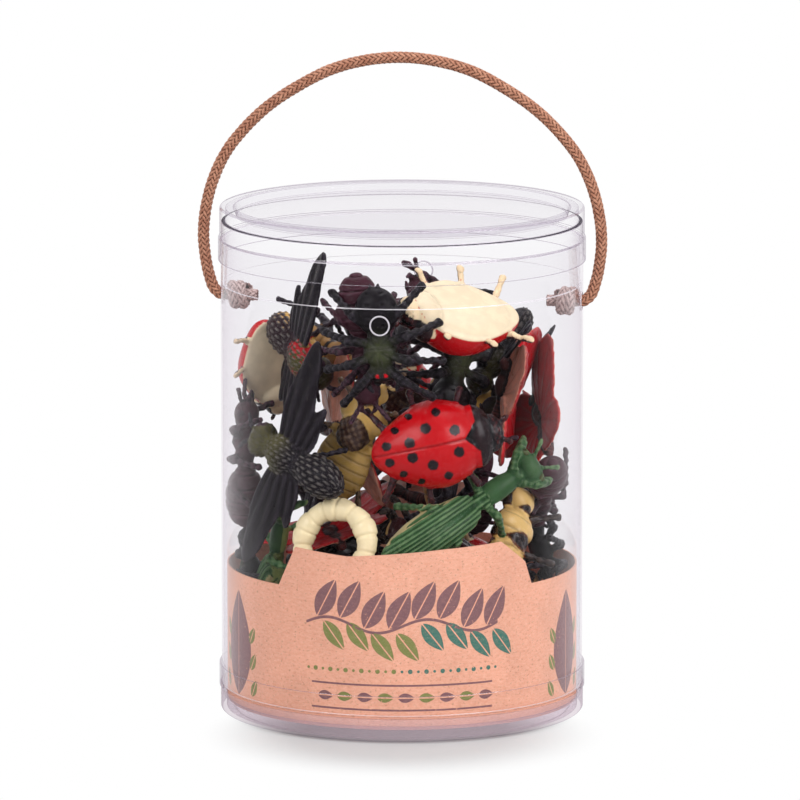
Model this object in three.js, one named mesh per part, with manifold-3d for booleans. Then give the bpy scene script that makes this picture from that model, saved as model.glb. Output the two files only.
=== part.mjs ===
// A clear tub of toy insects: a rolled clear tube between two moulded clear caps, a kraft paper
// band standing inside it, a braided cord handle knotted through two punched holes, and a jumble
// of moulded toy insects. Millimetres, +Z up, origin at the centre of the base's foot.
// The handle stands in the XZ plane. The band and the toys face -Y, turned by FRONT_TURN.
import * as THREE from "three";
import { mergeVertices } from "three/addons/utils/BufferGeometryUtils.js";
import Module from "manifold-3d";

const wasm = await Module();
wasm.setup();

// Tub
const TUB_HEIGHT = 163.5; // foot of the base to rim of the lid
const CAP_DIAMETER = 118;
const CAP_WALL = 0.5;
const SEAT_GAP = 0.3; // between pieces that touch
const ROUND = 0.5; // rounding of the caps' corners
const SHOULDER = 0.45; // how far a cap's skirt steps in above the tube's edge
const RIM_RING = 4.9; // width of a cap's flat ring
const RIM_BLOCK_HEIGHT = 4.7; // the thicker moulded band under the ring
const RIM_BLOCK_WALL = 1.5;
const PANEL_DEPTH = 2.8; // how far a cap's panel lies below its ring
const LID_HEIGHT = 17.3;
const LID_STEP = 10; // rim to shoulder
const BASE_HEIGHT = 14.8;
const BASE_STEP = 7.5;
const TUBE_WALL = 0.5;
const HEM_DEPTH = 14; // the tube's top edge is folded in
const HOLE_BELOW_HEM = 5.2; // four holes in one row, the cord in two of them
const HOLE_DIAMETER = 6;
const HOLES = 4;
const TUB_SIDES = 36;
const HOLE_SIDES = 12;

// Kraft band
const BAND_SLACK = 1.3; // between the tube and the band inside it
const PAPER = 0.5;
const BAND_LOW_EDGE = 47.5; // height of the upper edge round the sides and back
const BAND_STEP_DEG = 7.5; // one facet
const FRONT_TURN = THREE.MathUtils.degToRad(7);
// The die-cut front panel stands up from the low edge: [angle from the front, rise above that edge]
const BAND_PANEL = [[-44, 0], [-37, 13], [-18, 11.5], [14, 14], [34, 15], [44, 7.5], [47, 0]];

// Cord handle
const CORD_DIAMETER = 3.5;
const CORD_SIDES = 8;
const CORD_STEPS = 40;
const KNOT_WIDTH = 9.6;
const KNOT_LENGTH = 8.6;
const KNOT_SIDES = 8;
// Half of the arch, from just outside the hole to the top: [across as a share of the cap's radius,
// height above the holes]
const CORD_ARCH = [
  [1.024, 1.4], [1.058, 6], [1.078, 11.5], [1.09, 19], [1.075, 28.5], [1.034, 37.5], [0.96, 46.6],
  [0.868, 53.6], [0.739, 61], [0.566, 68], [0.38, 73.6], [0.186, 76.7], [0, 77.7],
];

// Toys
const BODY_SIDES = 6;
const LIMB_SIDES = 3;
const LIMB_STEPS = 2;
const WING_STEPS = 4;
const WING_THICKNESS = 1.1;
const NECK = 0.34; // a waist's width as a share of the narrower bead beside it
const BALL_PITCH = 1.7; // spacing of the balls that stand for a toy while it is placed
const BALL_SPARE = 0.15; // balls are this much fatter, to cover the gaps between them
const TOY_GAP = 0.3; // kept between toys and what they lie on
const SLIDE_STEP = 0.25;
const LONGEST_SEATING = 20; // how far a toy's solid may move on past the stop of its balls
const LONGEST_SLIDE = 48; // how far in from the wall a toy may be pushed
const NUDGE_STEPS = [0, -5, 5, -10, 10]; // sideways and up, tried for the least push
const NUDGE_COST = 1.2; // a nudge of 1 mm counts as much as this push
const TRIAL_SPOTS = 50;
const TRIAL_TURNS = 3;
const TRIAL_ROUNDS = 8; // a toy that finds no room is tried again, turned another way
const GOLDEN_ANGLE = Math.PI * (3 - Math.sqrt(5));
const FILLER_PITCH_DEG = [-30, 12, 38, -14, 24];
const FILLER_ROLL_DEG = [0, 150, 60, 200, -70, 20];
const MERGE = 1e-4;

const CAP_RADIUS = CAP_DIAMETER / 2;
const TUBE_RADIUS = CAP_RADIUS - CAP_WALL - SEAT_GAP;
const TUBE_BORE = TUBE_RADIUS - TUBE_WALL;
const HEM_BORE = TUBE_BORE - TUBE_WALL;
const TUBE_FOOT = BASE_STEP + CAP_WALL + SEAT_GAP;
const TUBE_TOP = TUB_HEIGHT - LID_STEP - CAP_WALL - SEAT_GAP;
const HOLE_HEIGHT = TUBE_TOP - HEM_DEPTH - HOLE_BELOW_HEM;
const FLOOR = PANEL_DEPTH + CAP_WALL;
const CEILING = TUB_HEIGHT - PANEL_DEPTH - CAP_WALL;
const BAND_RADIUS = TUBE_BORE - BAND_SLACK;
const BAND_BORE = BAND_RADIUS - PAPER;
const BAND_TOP = BAND_LOW_EDGE + Math.max(...BAND_PANEL.map(([, rise]) => rise));

// Solids

function solidOf(geometry) {
  const bare = geometry.index ? geometry.toNonIndexed() : geometry.clone();
  for (const name of Object.keys(bare.attributes)) {
    if (name !== "position") bare.deleteAttribute(name);
  }
  const merged = mergeVertices(bare, MERGE);
  const vertProperties = merged.attributes.position.array;
  const triVerts = new Uint32Array(merged.index.array);
  return new wasm.Manifold(new wasm.Mesh({ numProp: 3, vertProperties, triVerts }));
}

function geometryOf(solid) {
  const { vertProperties, triVerts } = solid.getMesh();
  const geometry = new THREE.BufferGeometry();
  geometry.setAttribute("position", new THREE.BufferAttribute(vertProperties, 3));
  geometry.setIndex(new THREE.BufferAttribute(triVerts, 1));
  geometry.computeVertexNormals();
  return geometry;
}

const joined = (geometries) => geometries.map(solidOf).reduce((a, b) => a.add(b));

// A profile of [radius, height] pairs turned round the Z axis
function turned(profile, sides) {
  const points = profile.map(([radius, height]) => new THREE.Vector2(radius, height));
  return new THREE.LatheGeometry(points, sides).rotateX(Math.PI / 2);
}

function polygon(sides, radius) {
  const corner = (k) => (2 * Math.PI * k) / sides;
  const corners = Array.from({ length: sides }, (_, k) => k);
  return new THREE.Shape(
    corners.map((k) => new THREE.Vector2(radius * Math.cos(corner(k)), radius * Math.sin(corner(k)))),
  );
}

function named(name, geometry, material) {
  const mesh = new THREE.Mesh(geometry, material);
  mesh.name = name;
  return mesh;
}

function plastic(color) {
  return new THREE.MeshStandardMaterial({ color, roughness: 0.4, metalness: 0 });
}

// Tub

// A moulded cap with its ring up at z = 0 and its skirt hanging down
function cap(height, step) {
  const upper = CAP_RADIUS - SHOULDER;
  const ring = upper - RIM_RING;
  return turned(
    [
      [0, -PANEL_DEPTH - CAP_WALL],
      [ring - CAP_WALL, -PANEL_DEPTH - CAP_WALL],
      [ring + CAP_WALL, -CAP_WALL],
      [upper - RIM_BLOCK_WALL, -CAP_WALL],
      [upper - RIM_BLOCK_WALL, -RIM_BLOCK_HEIGHT],
      [upper - CAP_WALL, -RIM_BLOCK_HEIGHT],
      [upper - CAP_WALL, -step - CAP_WALL],
      [CAP_RADIUS - CAP_WALL, -step - CAP_WALL],
      [CAP_RADIUS - CAP_WALL, -height],
      [CAP_RADIUS, -height],
      [CAP_RADIUS, -step],
      [upper, -step],
      [upper, -ROUND],
      [upper - ROUND, 0],
      [ring, 0],
      [ring - CAP_WALL, -PANEL_DEPTH],
      [0, -PANEL_DEPTH],
    ],
    TUB_SIDES,
  );
}

// The rolled clear wall: its top edge is folded in, and a row of holes is punched below the fold
function tube() {
  const wall = solidOf(
    turned(
      [
        [TUBE_BORE, TUBE_FOOT],
        [TUBE_RADIUS, TUBE_FOOT],
        [TUBE_RADIUS, TUBE_TOP],
        [HEM_BORE, TUBE_TOP],
        [HEM_BORE, TUBE_TOP - HEM_DEPTH],
        [TUBE_BORE, TUBE_TOP - HEM_DEPTH],
        [TUBE_BORE, TUBE_FOOT],
      ],
      TUB_SIDES,
    ),
  );
  const punch = new THREE.CylinderGeometry(HOLE_DIAMETER / 2, HOLE_DIAMETER / 2, CAP_RADIUS, HOLE_SIDES);
  punch.rotateY(Math.PI / HOLE_SIDES).translate(0, CAP_RADIUS, 0);
  const punched = (solid, k) => {
    const hole = punch.clone().rotateZ((2 * Math.PI * k) / HOLES).translate(0, 0, HOLE_HEIGHT);
    return solid.subtract(solidOf(hole));
  };
  return geometryOf(Array.from({ length: HOLES }, (_, k) => k).reduce(punched, wall));
}

// Height of the band's upper edge at an angle from the front
function bandEdge(degrees) {
  const next = BAND_PANEL.findIndex(([angle]) => angle >= degrees);
  if (next < 1) return BAND_LOW_EDGE;
  const [[a, low], [b, high]] = [BAND_PANEL[next - 1], BAND_PANEL[next]];
  return BAND_LOW_EDGE + low + ((high - low) * (degrees - a)) / (b - a);
}

// The kraft band: a paper strip rolled into a ring, its upper edge cut to the panel's outline
function band() {
  const even = Array.from({ length: 360 / BAND_STEP_DEG }, (_, k) => k * BAND_STEP_DEG - 180);
  const angles = [...new Set([...even, ...BAND_PANEL.map(([angle]) => angle)])].sort((a, b) => a - b);
  const foot = FLOOR + SEAT_GAP;
  const position = angles.flatMap((degrees) => {
    const angle = THREE.MathUtils.degToRad(degrees);
    const corner = (radius, height) => [radius * Math.sin(angle), -radius * Math.cos(angle), height];
    const edge = bandEdge(degrees);
    const outside = [corner(BAND_RADIUS, foot), corner(BAND_RADIUS, edge)];
    return [...outside, corner(BAND_BORE, edge), corner(BAND_BORE, foot)].flat();
  });
  const corners = 4;
  const index = angles.flatMap((_, k) => {
    const here = k * corners;
    const there = ((k + 1) % angles.length) * corners;
    return Array.from({ length: corners }, (_, c) => c).flatMap((c) => {
      const d = (c + 1) % corners;
      return [here + c, there + c, there + d, here + c, there + d, here + d];
    });
  });
  const geometry = new THREE.BufferGeometry();
  geometry.setAttribute("position", new THREE.Float32BufferAttribute(position, 3));
  geometry.setIndex(index);
  return geometry;
}

// Cord handle

const KNOT_FACE = Math.sqrt(TUBE_BORE ** 2 - (KNOT_WIDTH / 2) ** 2) - SEAT_GAP;

function cord() {
  const throughHole = [[KNOT_FACE + SEAT_GAP, 0], [TUBE_RADIUS, 0]];
  const arch = CORD_ARCH.map(([share, height]) => [share * CAP_RADIUS, height]);
  const half = [...throughHole, ...arch].map(([x, z]) => new THREE.Vector3(x, 0, HOLE_HEIGHT + z));
  const mirrored = half.slice(0, -1).reverse().map(({ x, y, z }) => new THREE.Vector3(-x, y, z));
  const extrudePath = new THREE.CatmullRomCurve3([...half, ...mirrored]);
  const section = polygon(CORD_SIDES, CORD_DIAMETER / 2);
  return new THREE.ExtrudeGeometry(section, { extrudePath, steps: CORD_STEPS, bevelEnabled: false });
}

// A stopper knot on the cord's end, its face against the tube: two wraps round a core, with a stub
function knot(side) {
  const wrap = CORD_DIAMETER / 2;
  const outer = KNOT_WIDTH / 2;
  const pitch = (KNOT_LENGTH - 2 * wrap) / 2;
  const profile = [[0, 0], [outer - wrap, 0]];
  for (const turn of [0, 1]) {
    const middle = wrap + turn * 2 * pitch;
    profile.push([outer, middle - wrap / 2], [outer, middle + wrap / 2]);
    profile.push([outer - wrap / 2, wrap + (turn + 0.5) * 2 * pitch]);
  }
  profile.pop();
  profile.push([outer - wrap, KNOT_LENGTH], [wrap, KNOT_LENGTH]);
  profile.push([wrap, KNOT_LENGTH + wrap], [0, KNOT_LENGTH + wrap]);
  const towardsAxis = turned(profile, KNOT_SIDES).rotateY((-side * Math.PI) / 2);
  return towardsAxis.translate(side * KNOT_FACE, 0, HOLE_HEIGHT);
}

// Toy kit: each piece of a toy is a closed geometry and the balls that stand for it

const vector = (p) => new THREE.Vector3(...p);

// A chain of [length, width] beads along X, head first, turned as one body and pressed flat
function body(beads, flat = 1, shift = 0) {
  const length = beads.reduce((sum, [l]) => sum + l, 0);
  const profile = [[length / 2, 0]];
  let front = length / 2;
  beads.forEach(([l, width], k) => {
    for (const angle of [40, 90, 140].map(THREE.MathUtils.degToRad)) {
      profile.push([front - (l / 2) * (1 - Math.cos(angle)), (width / 2) * Math.sin(angle)]);
    }
    front -= l;
    const next = beads[k + 1];
    profile.push([front, next ? NECK * Math.min(width, next[1]) : 0]);
  });
  const points = profile.map(([x, radius]) => new THREE.Vector2(radius, x));
  const geometry = new THREE.LatheGeometry(points.reverse(), BODY_SIDES).rotateZ(-Math.PI / 2);
  geometry.scale(1, 1, flat).translate(shift, 0, 0);
  const balls = profile.slice(1).flatMap(([x, radius], k) => {
    const [x0, radius0] = profile[k];
    const count = Math.max(1, Math.round(Math.abs(x0 - x) / (2 * BALL_PITCH)));
    return Array.from({ length: count }, (_, n) => (n + 1) / count).flatMap((t) => {
      const r = radius0 + (radius - radius0) * t;
      const spread = r * (1 - flat);
      const sideways = flat < 1 ? [-spread, 0, spread] : [0];
      return sideways.map((y) => ({ at: vector([x0 + (x - x0) * t + shift, y, 0]), radius: r * flat }));
    });
  });
  return { geometry, balls };
}

// A leg, feeler or horn: one bent tube through the points
function limb(points, radius, steps = LIMB_STEPS, sides = LIMB_SIDES) {
  const extrudePath = new THREE.CatmullRomCurve3(points.map(vector));
  const section = polygon(sides, radius);
  const geometry = new THREE.ExtrudeGeometry(section, { extrudePath, steps, bevelEnabled: false });
  const stations = extrudePath.getSpacedPoints(steps);
  const balls = stations.slice(1).flatMap((to, k) => {
    const count = Math.ceil(stations[k].distanceTo(to) / BALL_PITCH);
    const between = (n) => stations[k].clone().lerp(to, (n + 1) / count);
    return Array.from({ length: count }, (_, n) => ({ at: between(n), radius }));
  });
  return { geometry, balls };
}

// Pairs of legs: [where on the body, sweep in degrees, reach, knee height, foot height]
function legs(pairs, radius, hip = 0) {
  return pairs.flatMap(([x, sweep, reach, knee, foot]) => {
    const turn = THREE.MathUtils.degToRad(sweep);
    return [1, -1].map((side) => {
      const forward = reach * Math.sin(turn);
      const sideways = side * reach * Math.cos(turn);
      const at = (share, height) => [x + share * forward, share * sideways, height];
      return limb([[x, side, hip], at(0.5, knee), at(1, foot)], radius);
    });
  });
}

// A pair of thin limbs that leave the head forwards
function feelers(x, reach, spread, radius, lift = 4) {
  return [1, -1].map((side) => limb([[x, side, 0], [x + reach, side * spread, lift]], radius, 1));
}

// Half of a wing's width at a share of its length
const wingHalf = (share, width) => (width / 2) * Math.sin(Math.PI * share ** 0.75) ** 0.6;

// A pair of flat wings, swept back from straight out and raised at their tips
function wings(x, height, length, width, sweep, lift) {
  const shares = Array.from({ length: WING_STEPS - 1 }, (_, k) => (k + 1) / WING_STEPS);
  const rim = (side, share) => new THREE.Vector2(side * wingHalf(share, width), share * length);
  const edge = (side) => shares.map((share) => rim(side, share));
  const root = new THREE.Vector2(0, 0);
  const tip = new THREE.Vector2(0, length);
  const outline = new THREE.Shape([root, ...edge(1), tip, ...edge(-1).reverse()]);
  const rows = Math.ceil(length / BALL_PITCH);
  const spots = Array.from({ length: rows }, (_, k) => (k + 1) / rows).flatMap((share) => {
    const half = wingHalf(Math.min(share, 0.999), width);
    const count = Math.ceil((2 * half) / BALL_PITCH);
    const across = (n) => (count ? -half + (2 * half * n) / count : 0);
    return Array.from({ length: count + 1 }, (_, n) => vector([across(n), share * length, 0]));
  });
  return [1, -1].map((side) => {
    const raised = side * THREE.MathUtils.degToRad(lift) + (side < 0 ? Math.PI : 0);
    const place = new THREE.Matrix4().makeRotationZ(side * THREE.MathUtils.degToRad(sweep));
    place.multiply(new THREE.Matrix4().makeRotationX(raised));
    place.setPosition(x, 0, height);
    const geometry = new THREE.ExtrudeGeometry(outline, { depth: WING_THICKNESS, bevelEnabled: false });
    geometry.translate(0, 0, -WING_THICKNESS / 2).applyMatrix4(place);
    const radius = WING_THICKNESS / 2 + BALL_SPARE;
    return { geometry, balls: spots.map((spot) => ({ at: spot.clone().applyMatrix4(place), radius })) };
  });
}

// Toys, head towards +X and back towards +Z

function ladybird() {
  const pieces = [
    body([[7, 13], [31, 29]], 0.86),
    ...legs([[8, 30, 16.5, 0, -4], [2, 0, 17.5, 0, -4], [-5, -30, 17.5, 0, -4]], 1.3, -1),
  ];
  const belly = new THREE.BoxGeometry(60, 60, 20).translate(0, 0, -12.2);
  const notch = new THREE.ExtrudeGeometry(
    new THREE.Shape([[-9, 0], [-24, 5], [-24, -5]].map(([x, y]) => new THREE.Vector2(x, y))),
    { depth: 20, bevelEnabled: false },
  ).translate(0, 0, 0.8);
  const shell = solidOf(pieces[0].geometry).subtract(solidOf(belly)).subtract(solidOf(notch));
  pieces[0] = { geometry: geometryOf(shell), balls: pieces[0].balls };
  return { pieces, colour: 0xd3101f };
}

const spider = () => ({
  pieces: [
    body([[4.5, 8], [10.5, 11], [15, 14]], 0.75),
    ...legs([[9, 42, 19, 2, -5], [6, 14, 19, 3, -6], [3, -14, 19, 3, -6], [0, -44, 20, 2, -5]], 1.4),
  ],
  colour: 0x1b1a1d,
});

const hornet = (colour) => ({
  pieces: [
    body([[8, 11.5], [13, 13], [19, 12.5]], 0.9),
    ...wings(3, 2.5, 40, 13, -6, -3),
    ...legs([[7, 40, 11, -2, -9], [3, -5, 11, -2, -10], [-1, -45, 12, -2, -9]], 1.1),
  ],
  colour,
});

const ant = () => ({
  pieces: [
    body([[9, 9], [13, 7.5], [20, 14]], 0.9),
    ...legs([[7, 45, 15, 3, -6], [3, 0, 14, 3, -7], [-1, -45, 16, 3, -6]], 1.2),
    ...feelers(18, 8, 6, 0.9, 2),
  ],
  colour: 0x3c1b20,
});

const mantis = () => ({
  pieces: [
    body([[7, 10.5], [19, 7.5], [36, 15]], 0.8),
    ...legs([[22, 55, 14, 1, -7], [8, 10, 14, 2, -8], [0, -48, 19, 3, -8]], 1.3),
    ...feelers(28, 7, 5, 0.9, 2),
  ],
  colour: 0x2c6b3a,
});

const cricket = () => ({
  pieces: [
    body([[9, 10.5], [11, 12], [26, 12.5]], 0.9),
    ...legs([[14, 45, 11, -1, -8], [7, 0, 11, -1, -8]], 1.1),
    ...[1, -1].map((side) => limb([[-1, side * 3, 0], [-14, side * 8, 7], [-24, side * 8.5, -7]], 1.6)),
    ...feelers(21, 9, 5, 0.8, 2),
  ],
  colour: 0x2a2631,
});

const beetle = (colour) => ({
  pieces: [
    body([[8, 11], [11, 17], [23, 21]], 0.6),
    ...legs([[9, 35, 15, 0, -6], [2, 0, 15, 0, -7], [-6, -35, 16, 0, -6]], 1.3),
    ...[1, -1].map((side) => limb([[18, side * 2, 0], [23, side * 4.5, 0.5], [27, side * 2.5, 1]], 1.3)),
  ],
  colour,
});

const butterfly = () => ({
  pieces: [
    body([[5, 5.5], [9, 6], [17, 5]]),
    ...wings(5, 0.6, 33, 25, -24, 12),
    ...wings(0, 0.6, 25, 21, 38, 10),
    ...feelers(14, 8, 5, 0.8, 2),
  ],
  colour: 0xb3202c,
});

const cockroach = (colour) => ({
  pieces: [
    body([[7, 10], [11, 18], [25, 19]], 0.42),
    ...legs([[8, 40, 14, 0, -4], [2, -10, 15, 0, -5], [-4, -45, 17, 0, -4]], 1.1),
    ...feelers(19, 9, 6, 0.8, 1),
  ],
  colour,
});

const larva = () => ({
  pieces: [body([[9, 9.5], [9, 10], [9, 10], [9, 10], [8, 8.5]], 0.9)],
  colour: 0xd9c176,
});

const grub = () => {
  const bend = Array.from({ length: 7 }, (_, k) => THREE.MathUtils.degToRad(k * 42 - 36));
  const curl = bend.map((angle) => [11.5 * Math.cos(angle), 11.5 * Math.sin(angle), 0]);
  return { pieces: [limb(curl, 3.9, 9, 7)], colour: 0xf0deac };
};

const BLACK = 0x211e26;
const MAROON = 0x45212a;
const TAN = 0xb98d4f;

// Toys seen through the front, as they lie against the wall: [name, toy, angle from the front,
// height as a share of the tub's, head towards, back towards]. Directions are [right, up, out] as seen
// from outside the tub. Each is pushed in from the wall until it is clear of the toys before it.
const FRONT_TOYS = [
  ["ladybird_front", ladybird(), 12, 0.568, [-1, -0.15, 0], [0, 0.2, 1]],
  ["hornet_front", hornet(BLACK), -43, 0.529, [-0.94, 0.34, 0], [0, 0.1, 1]],
  ["spider_front", spider(), -13, 0.761, [0.12, -1, 0], [0, 0.1, 1]],
  ["mantis_front", mantis(), 26, 0.428, [0.88, 0.47, 0], [0, 0.3, 1]],
  ["grub_left", grub(), -21, 0.373, [1, 0.1, 0], [0, 0.3, 1]],
  ["ladybird_upturned", ladybird(), 30, 0.813, [1, -0.12, 0], [0, -0.78, -0.62]],
  ["beetle_upturned", beetle(TAN), 62, 0.336, [0.5, 0.7, 0], [0, -0.4, -1]],
  ["hornet_left", hornet(MAROON), -64, 0.728, [0.94, -0.33, 0], [0, 0, 1]],
  ["spider_right", spider(), 38, 0.679, [0.2, 1, 0], [0, 0, 1]],
  ["butterfly_right", butterfly(), 68, 0.618, [0, 1, 0.2], [0.2, 0, 1]],
  ["ant_left", ant(), -72, 0.526, [0.1, 1, 0], [-0.3, 0, 1]],
  ["ant_top", ant(), -22, 0.838, [0.1, -1, 0], [0.2, 0, 1]],
  ["cricket_right", cricket(), 44, 0.538, [0.05, 1, 0], [0.3, 0, 1]],
  ["cockroach_belly", cockroach(TAN), -18, 0.563, [0.5, 1, 0], [0, 0, -1]],
  ["beetle_right", beetle(MAROON), 44, 0.379, [-0.8, 0.5, 0], [0, 0.3, 1]],
  ["mantis_left", mantis(), -66, 0.343, [0.4, 0.9, 0], [-0.3, 0.2, 1]],
  ["ant_right", ant(), 60, 0.783, [-0.6, 0.5, 0], [0, 0.3, 1]],
];

// Toys behind and below them: each takes the lowest free spot of the tub
const FILLERS = [
  ["beetle_floor", beetle(BLACK)],
  ["larva_floor", larva()],
  ["cricket_floor", cricket()],
  ["spider_floor", spider()],
  ["beetle_middle", beetle(MAROON)],
  ["larva_middle", larva()],
  ["cockroach_middle", cockroach(BLACK)],
  ["mantis_middle", mantis()],
  ["spider_middle", spider()],
  ["grub_back", grub()],
  ["ladybird_back", ladybird()],
  ["beetle_back", beetle(BLACK)],
  ["hornet_back", hornet(BLACK)],
  ["ant_back", ant()],
];

// Placing

function aim(head, back) {
  const x = head.clone().normalize();
  const z = back.clone().addScaledVector(x, -back.dot(x)).normalize();
  const basis = new THREE.Matrix4().makeBasis(x, z.clone().cross(x), z);
  return new THREE.Quaternion().setFromRotationMatrix(basis);
}

const NUDGES = NUDGE_STEPS.flatMap((aside) => NUDGE_STEPS.map((raised) => [aside, raised]));
const placed = [];
const wallRadius = (low) => (low < BAND_TOP + TOY_GAP ? BAND_BORE : HEM_BORE) - TOY_GAP;

function turnedBalls(toy, turn) {
  return toy.pieces.flatMap(({ balls }) =>
    balls.map(({ at, radius }) => {
      const { x, y, z } = at.clone().applyQuaternion(turn);
      return { x, y, z, radius: radius + BALL_SPARE };
    }),
  );
}

// The shortest way from a spot along a direction that takes a toy clear of everything placed
function firstFree(balls, spot, along, start, longest) {
  const taken = new Uint8Array(Math.ceil(longest / SLIDE_STEP) + 1);
  for (const ball of balls) {
    const x = ball.x + spot.x;
    const y = ball.y + spot.y;
    const z = ball.z + spot.z;
    for (const other of placed) {
      const dx = other.x - x;
      const dy = other.y - y;
      const dz = other.z - z;
      const reach = ball.radius + other.radius + TOY_GAP;
      const middle = dx * along.x + dy * along.y + dz * along.z;
      const chord = reach * reach - (dx * dx + dy * dy + dz * dz - middle * middle);
      if (chord <= 0) continue;
      const half = Math.sqrt(chord);
      const from = Math.max(0, Math.ceil((middle - half - start) / SLIDE_STEP));
      const to = Math.min(taken.length - 1, Math.floor((middle + half - start) / SLIDE_STEP));
      if (from <= to) taken.fill(1, from, to + 1);
    }
  }
  const free = taken.indexOf(0);
  return free < 0 ? null : start + free * SLIDE_STEP;
}

const settled = [];

function obstacle(geometry) {
  geometry.computeBoundingBox();
  return { solid: solidOf(geometry), box: geometry.boundingBox };
}

const meets = (moved) =>
  settled.some(({ solid, box }) => box.intersectsBox(moved.box) && !solid.intersect(moved.solid).isEmpty());

// Puts a toy where its balls stopped, and moves it on until its solid is the gap away from another
function settle(name, toy, turn, balls, spot, towards) {
  const geometry = geometryOf(joined(toy.pieces.map((piece) => piece.geometry)));
  const shape = geometry.clone().applyQuaternion(turn);
  const at = (way) => shape.clone().translate(...spot.clone().addScaledVector(towards, way).toArray());
  let way = 0;
  while (way < LONGEST_SEATING && !meets(obstacle(at(way + SLIDE_STEP + TOY_GAP)))) way += SLIDE_STEP;
  spot.addScaledVector(towards, way);
  settled.push(obstacle(at(0)));
  for (const { x, y, z, radius } of balls) {
    placed.push({ x: x + spot.x, y: y + spot.y, z: z + spot.z, radius });
  }
  const mesh = named(name, geometry, plastic(toy.colour));
  mesh.quaternion.copy(turn);
  mesh.position.copy(spot);
  return mesh;
}

const roofFor = (balls) => CEILING - TOY_GAP - Math.max(...balls.map((ball) => ball.radius + ball.z));

const insideWall = (balls, spot) =>
  balls.every(({ x, y, z, radius }) => {
    const reach = Math.hypot(x + spot.x, y + spot.y) + radius;
    return reach <= wallRadius(z + spot.z - radius);
  });

// How far in from the wall a toy must be before every ball of it is inside
function wallStop(balls, spot, inward) {
  const place = spot.clone();
  for (let slide = 0; slide < LONGEST_SLIDE; slide += SLIDE_STEP) {
    if (insideWall(balls, place)) return slide;
    place.addScaledVector(inward, SLIDE_STEP);
  }
  return null;
}

function pushIn([name, toy, degrees, share, head, back], k) {
  const height = share * TUB_HEIGHT;
  let best = null;
  for (const [aside, raised] of NUDGES) {
    const angle = THREE.MathUtils.degToRad(degrees) + aside / HEM_BORE;
    const right = new THREE.Vector3(Math.cos(angle), Math.sin(angle), 0);
    const out = new THREE.Vector3(Math.sin(angle), -Math.cos(angle), 0);
    const frame = new THREE.Matrix4().makeBasis(right, new THREE.Vector3(0, 0, 1), out);
    const turn = aim(vector(head).applyMatrix4(frame), vector(back).applyMatrix4(frame));
    const balls = turnedBalls(toy, turn);
    if (height + raised > roofFor(balls)) continue;
    const inward = out.clone().negate();
    const spot = out.clone().multiplyScalar(HEM_BORE).setZ(height + raised);
    const start = wallStop(balls, spot, inward);
    const slide = start === null ? null : firstFree(balls, spot, inward, start, LONGEST_SLIDE - start);
    if (slide === null) continue;
    const cost = slide + NUDGE_COST * Math.hypot(aside, raised);
    if (best && cost >= best.cost) continue;
    best = { cost, turn, balls, spot: spot.addScaledVector(inward, slide), out };
  }
  return best ? settle(name, toy, best.turn, best.balls, best.spot, best.out) : dropIn([name, toy], k);
}

function dropIn([name, toy], k, rounds = TRIAL_ROUNDS) {
  const up = new THREE.Vector3(0, 0, 1);
  let best = null;
  for (let trial = 0; trial < TRIAL_SPOTS * TRIAL_TURNS; trial += 1) {
    const yaw = (k * TRIAL_TURNS + (trial % TRIAL_TURNS)) * GOLDEN_ANGLE;
    const pitch = THREE.MathUtils.degToRad(FILLER_PITCH_DEG[k % FILLER_PITCH_DEG.length]);
    const roll = THREE.MathUtils.degToRad(FILLER_ROLL_DEG[k % FILLER_ROLL_DEG.length]);
    const turn = new THREE.Quaternion().setFromEuler(new THREE.Euler(roll, pitch, yaw, "ZYX"));
    const balls = turnedBalls(toy, turn);
    const radius = BAND_BORE * Math.sqrt(trial / (TRIAL_SPOTS * TRIAL_TURNS));
    const bearing = trial * GOLDEN_ANGLE;
    const spot = new THREE.Vector3(radius * Math.cos(bearing), radius * Math.sin(bearing), 0);
    if (!insideWall(balls, spot)) continue;
    const floor = FLOOR + TOY_GAP + Math.max(...balls.map((ball) => ball.radius - ball.z));
    const roof = roofFor(balls);
    const height = firstFree(balls, spot, up, floor, (best ? Math.min(best.spot.z, roof) : roof) - floor);
    if (height === null || height >= (best ? best.spot.z : roof)) continue;
    best = { turn, balls, spot: spot.setZ(height) };
  }
  if (best) return settle(name, toy, best.turn, best.balls, best.spot, up.negate());
  if (rounds > 1) return dropIn([name, toy], k + 1, rounds - 1);
  throw new Error(`no room for ${name}`);
}

// Assembly

function clear() {
  const color = 0xf2f1f4;
  return new THREE.MeshStandardMaterial({ color, roughness: 0.08, transparent: true, opacity: 0.25 });
}
const kraft = new THREE.MeshStandardMaterial({ color: 0xd39a78, roughness: 0.85 });
const braid = new THREE.MeshStandardMaterial({ color: 0x9a6146, roughness: 0.8 });

const bucket = new THREE.Group();
bucket.add(named("tube", tube(), clear()));

const lid = named("lid", cap(LID_HEIGHT, LID_STEP), clear());
lid.position.z = TUB_HEIGHT;
bucket.add(lid);

const base = named("base_cap", cap(BASE_HEIGHT, BASE_STEP), clear());
base.rotation.x = Math.PI;
bucket.add(base);

bucket.add(named("handle_cord", cord(), braid));
bucket.add(named("right_knot", knot(1), braid));
bucket.add(named("left_knot", knot(-1), braid));

const contents = new THREE.Group();
contents.rotation.z = FRONT_TURN;
const insert = named("kraft_band", band(), kraft);
contents.add(insert);

bucket.updateMatrixWorld(true);
for (const piece of bucket.children) {
  settled.push(obstacle(piece.geometry.clone().applyMatrix4(piece.matrixWorld).rotateZ(-FRONT_TURN)));
}
settled.push(obstacle(insert.geometry.clone()));

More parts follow.
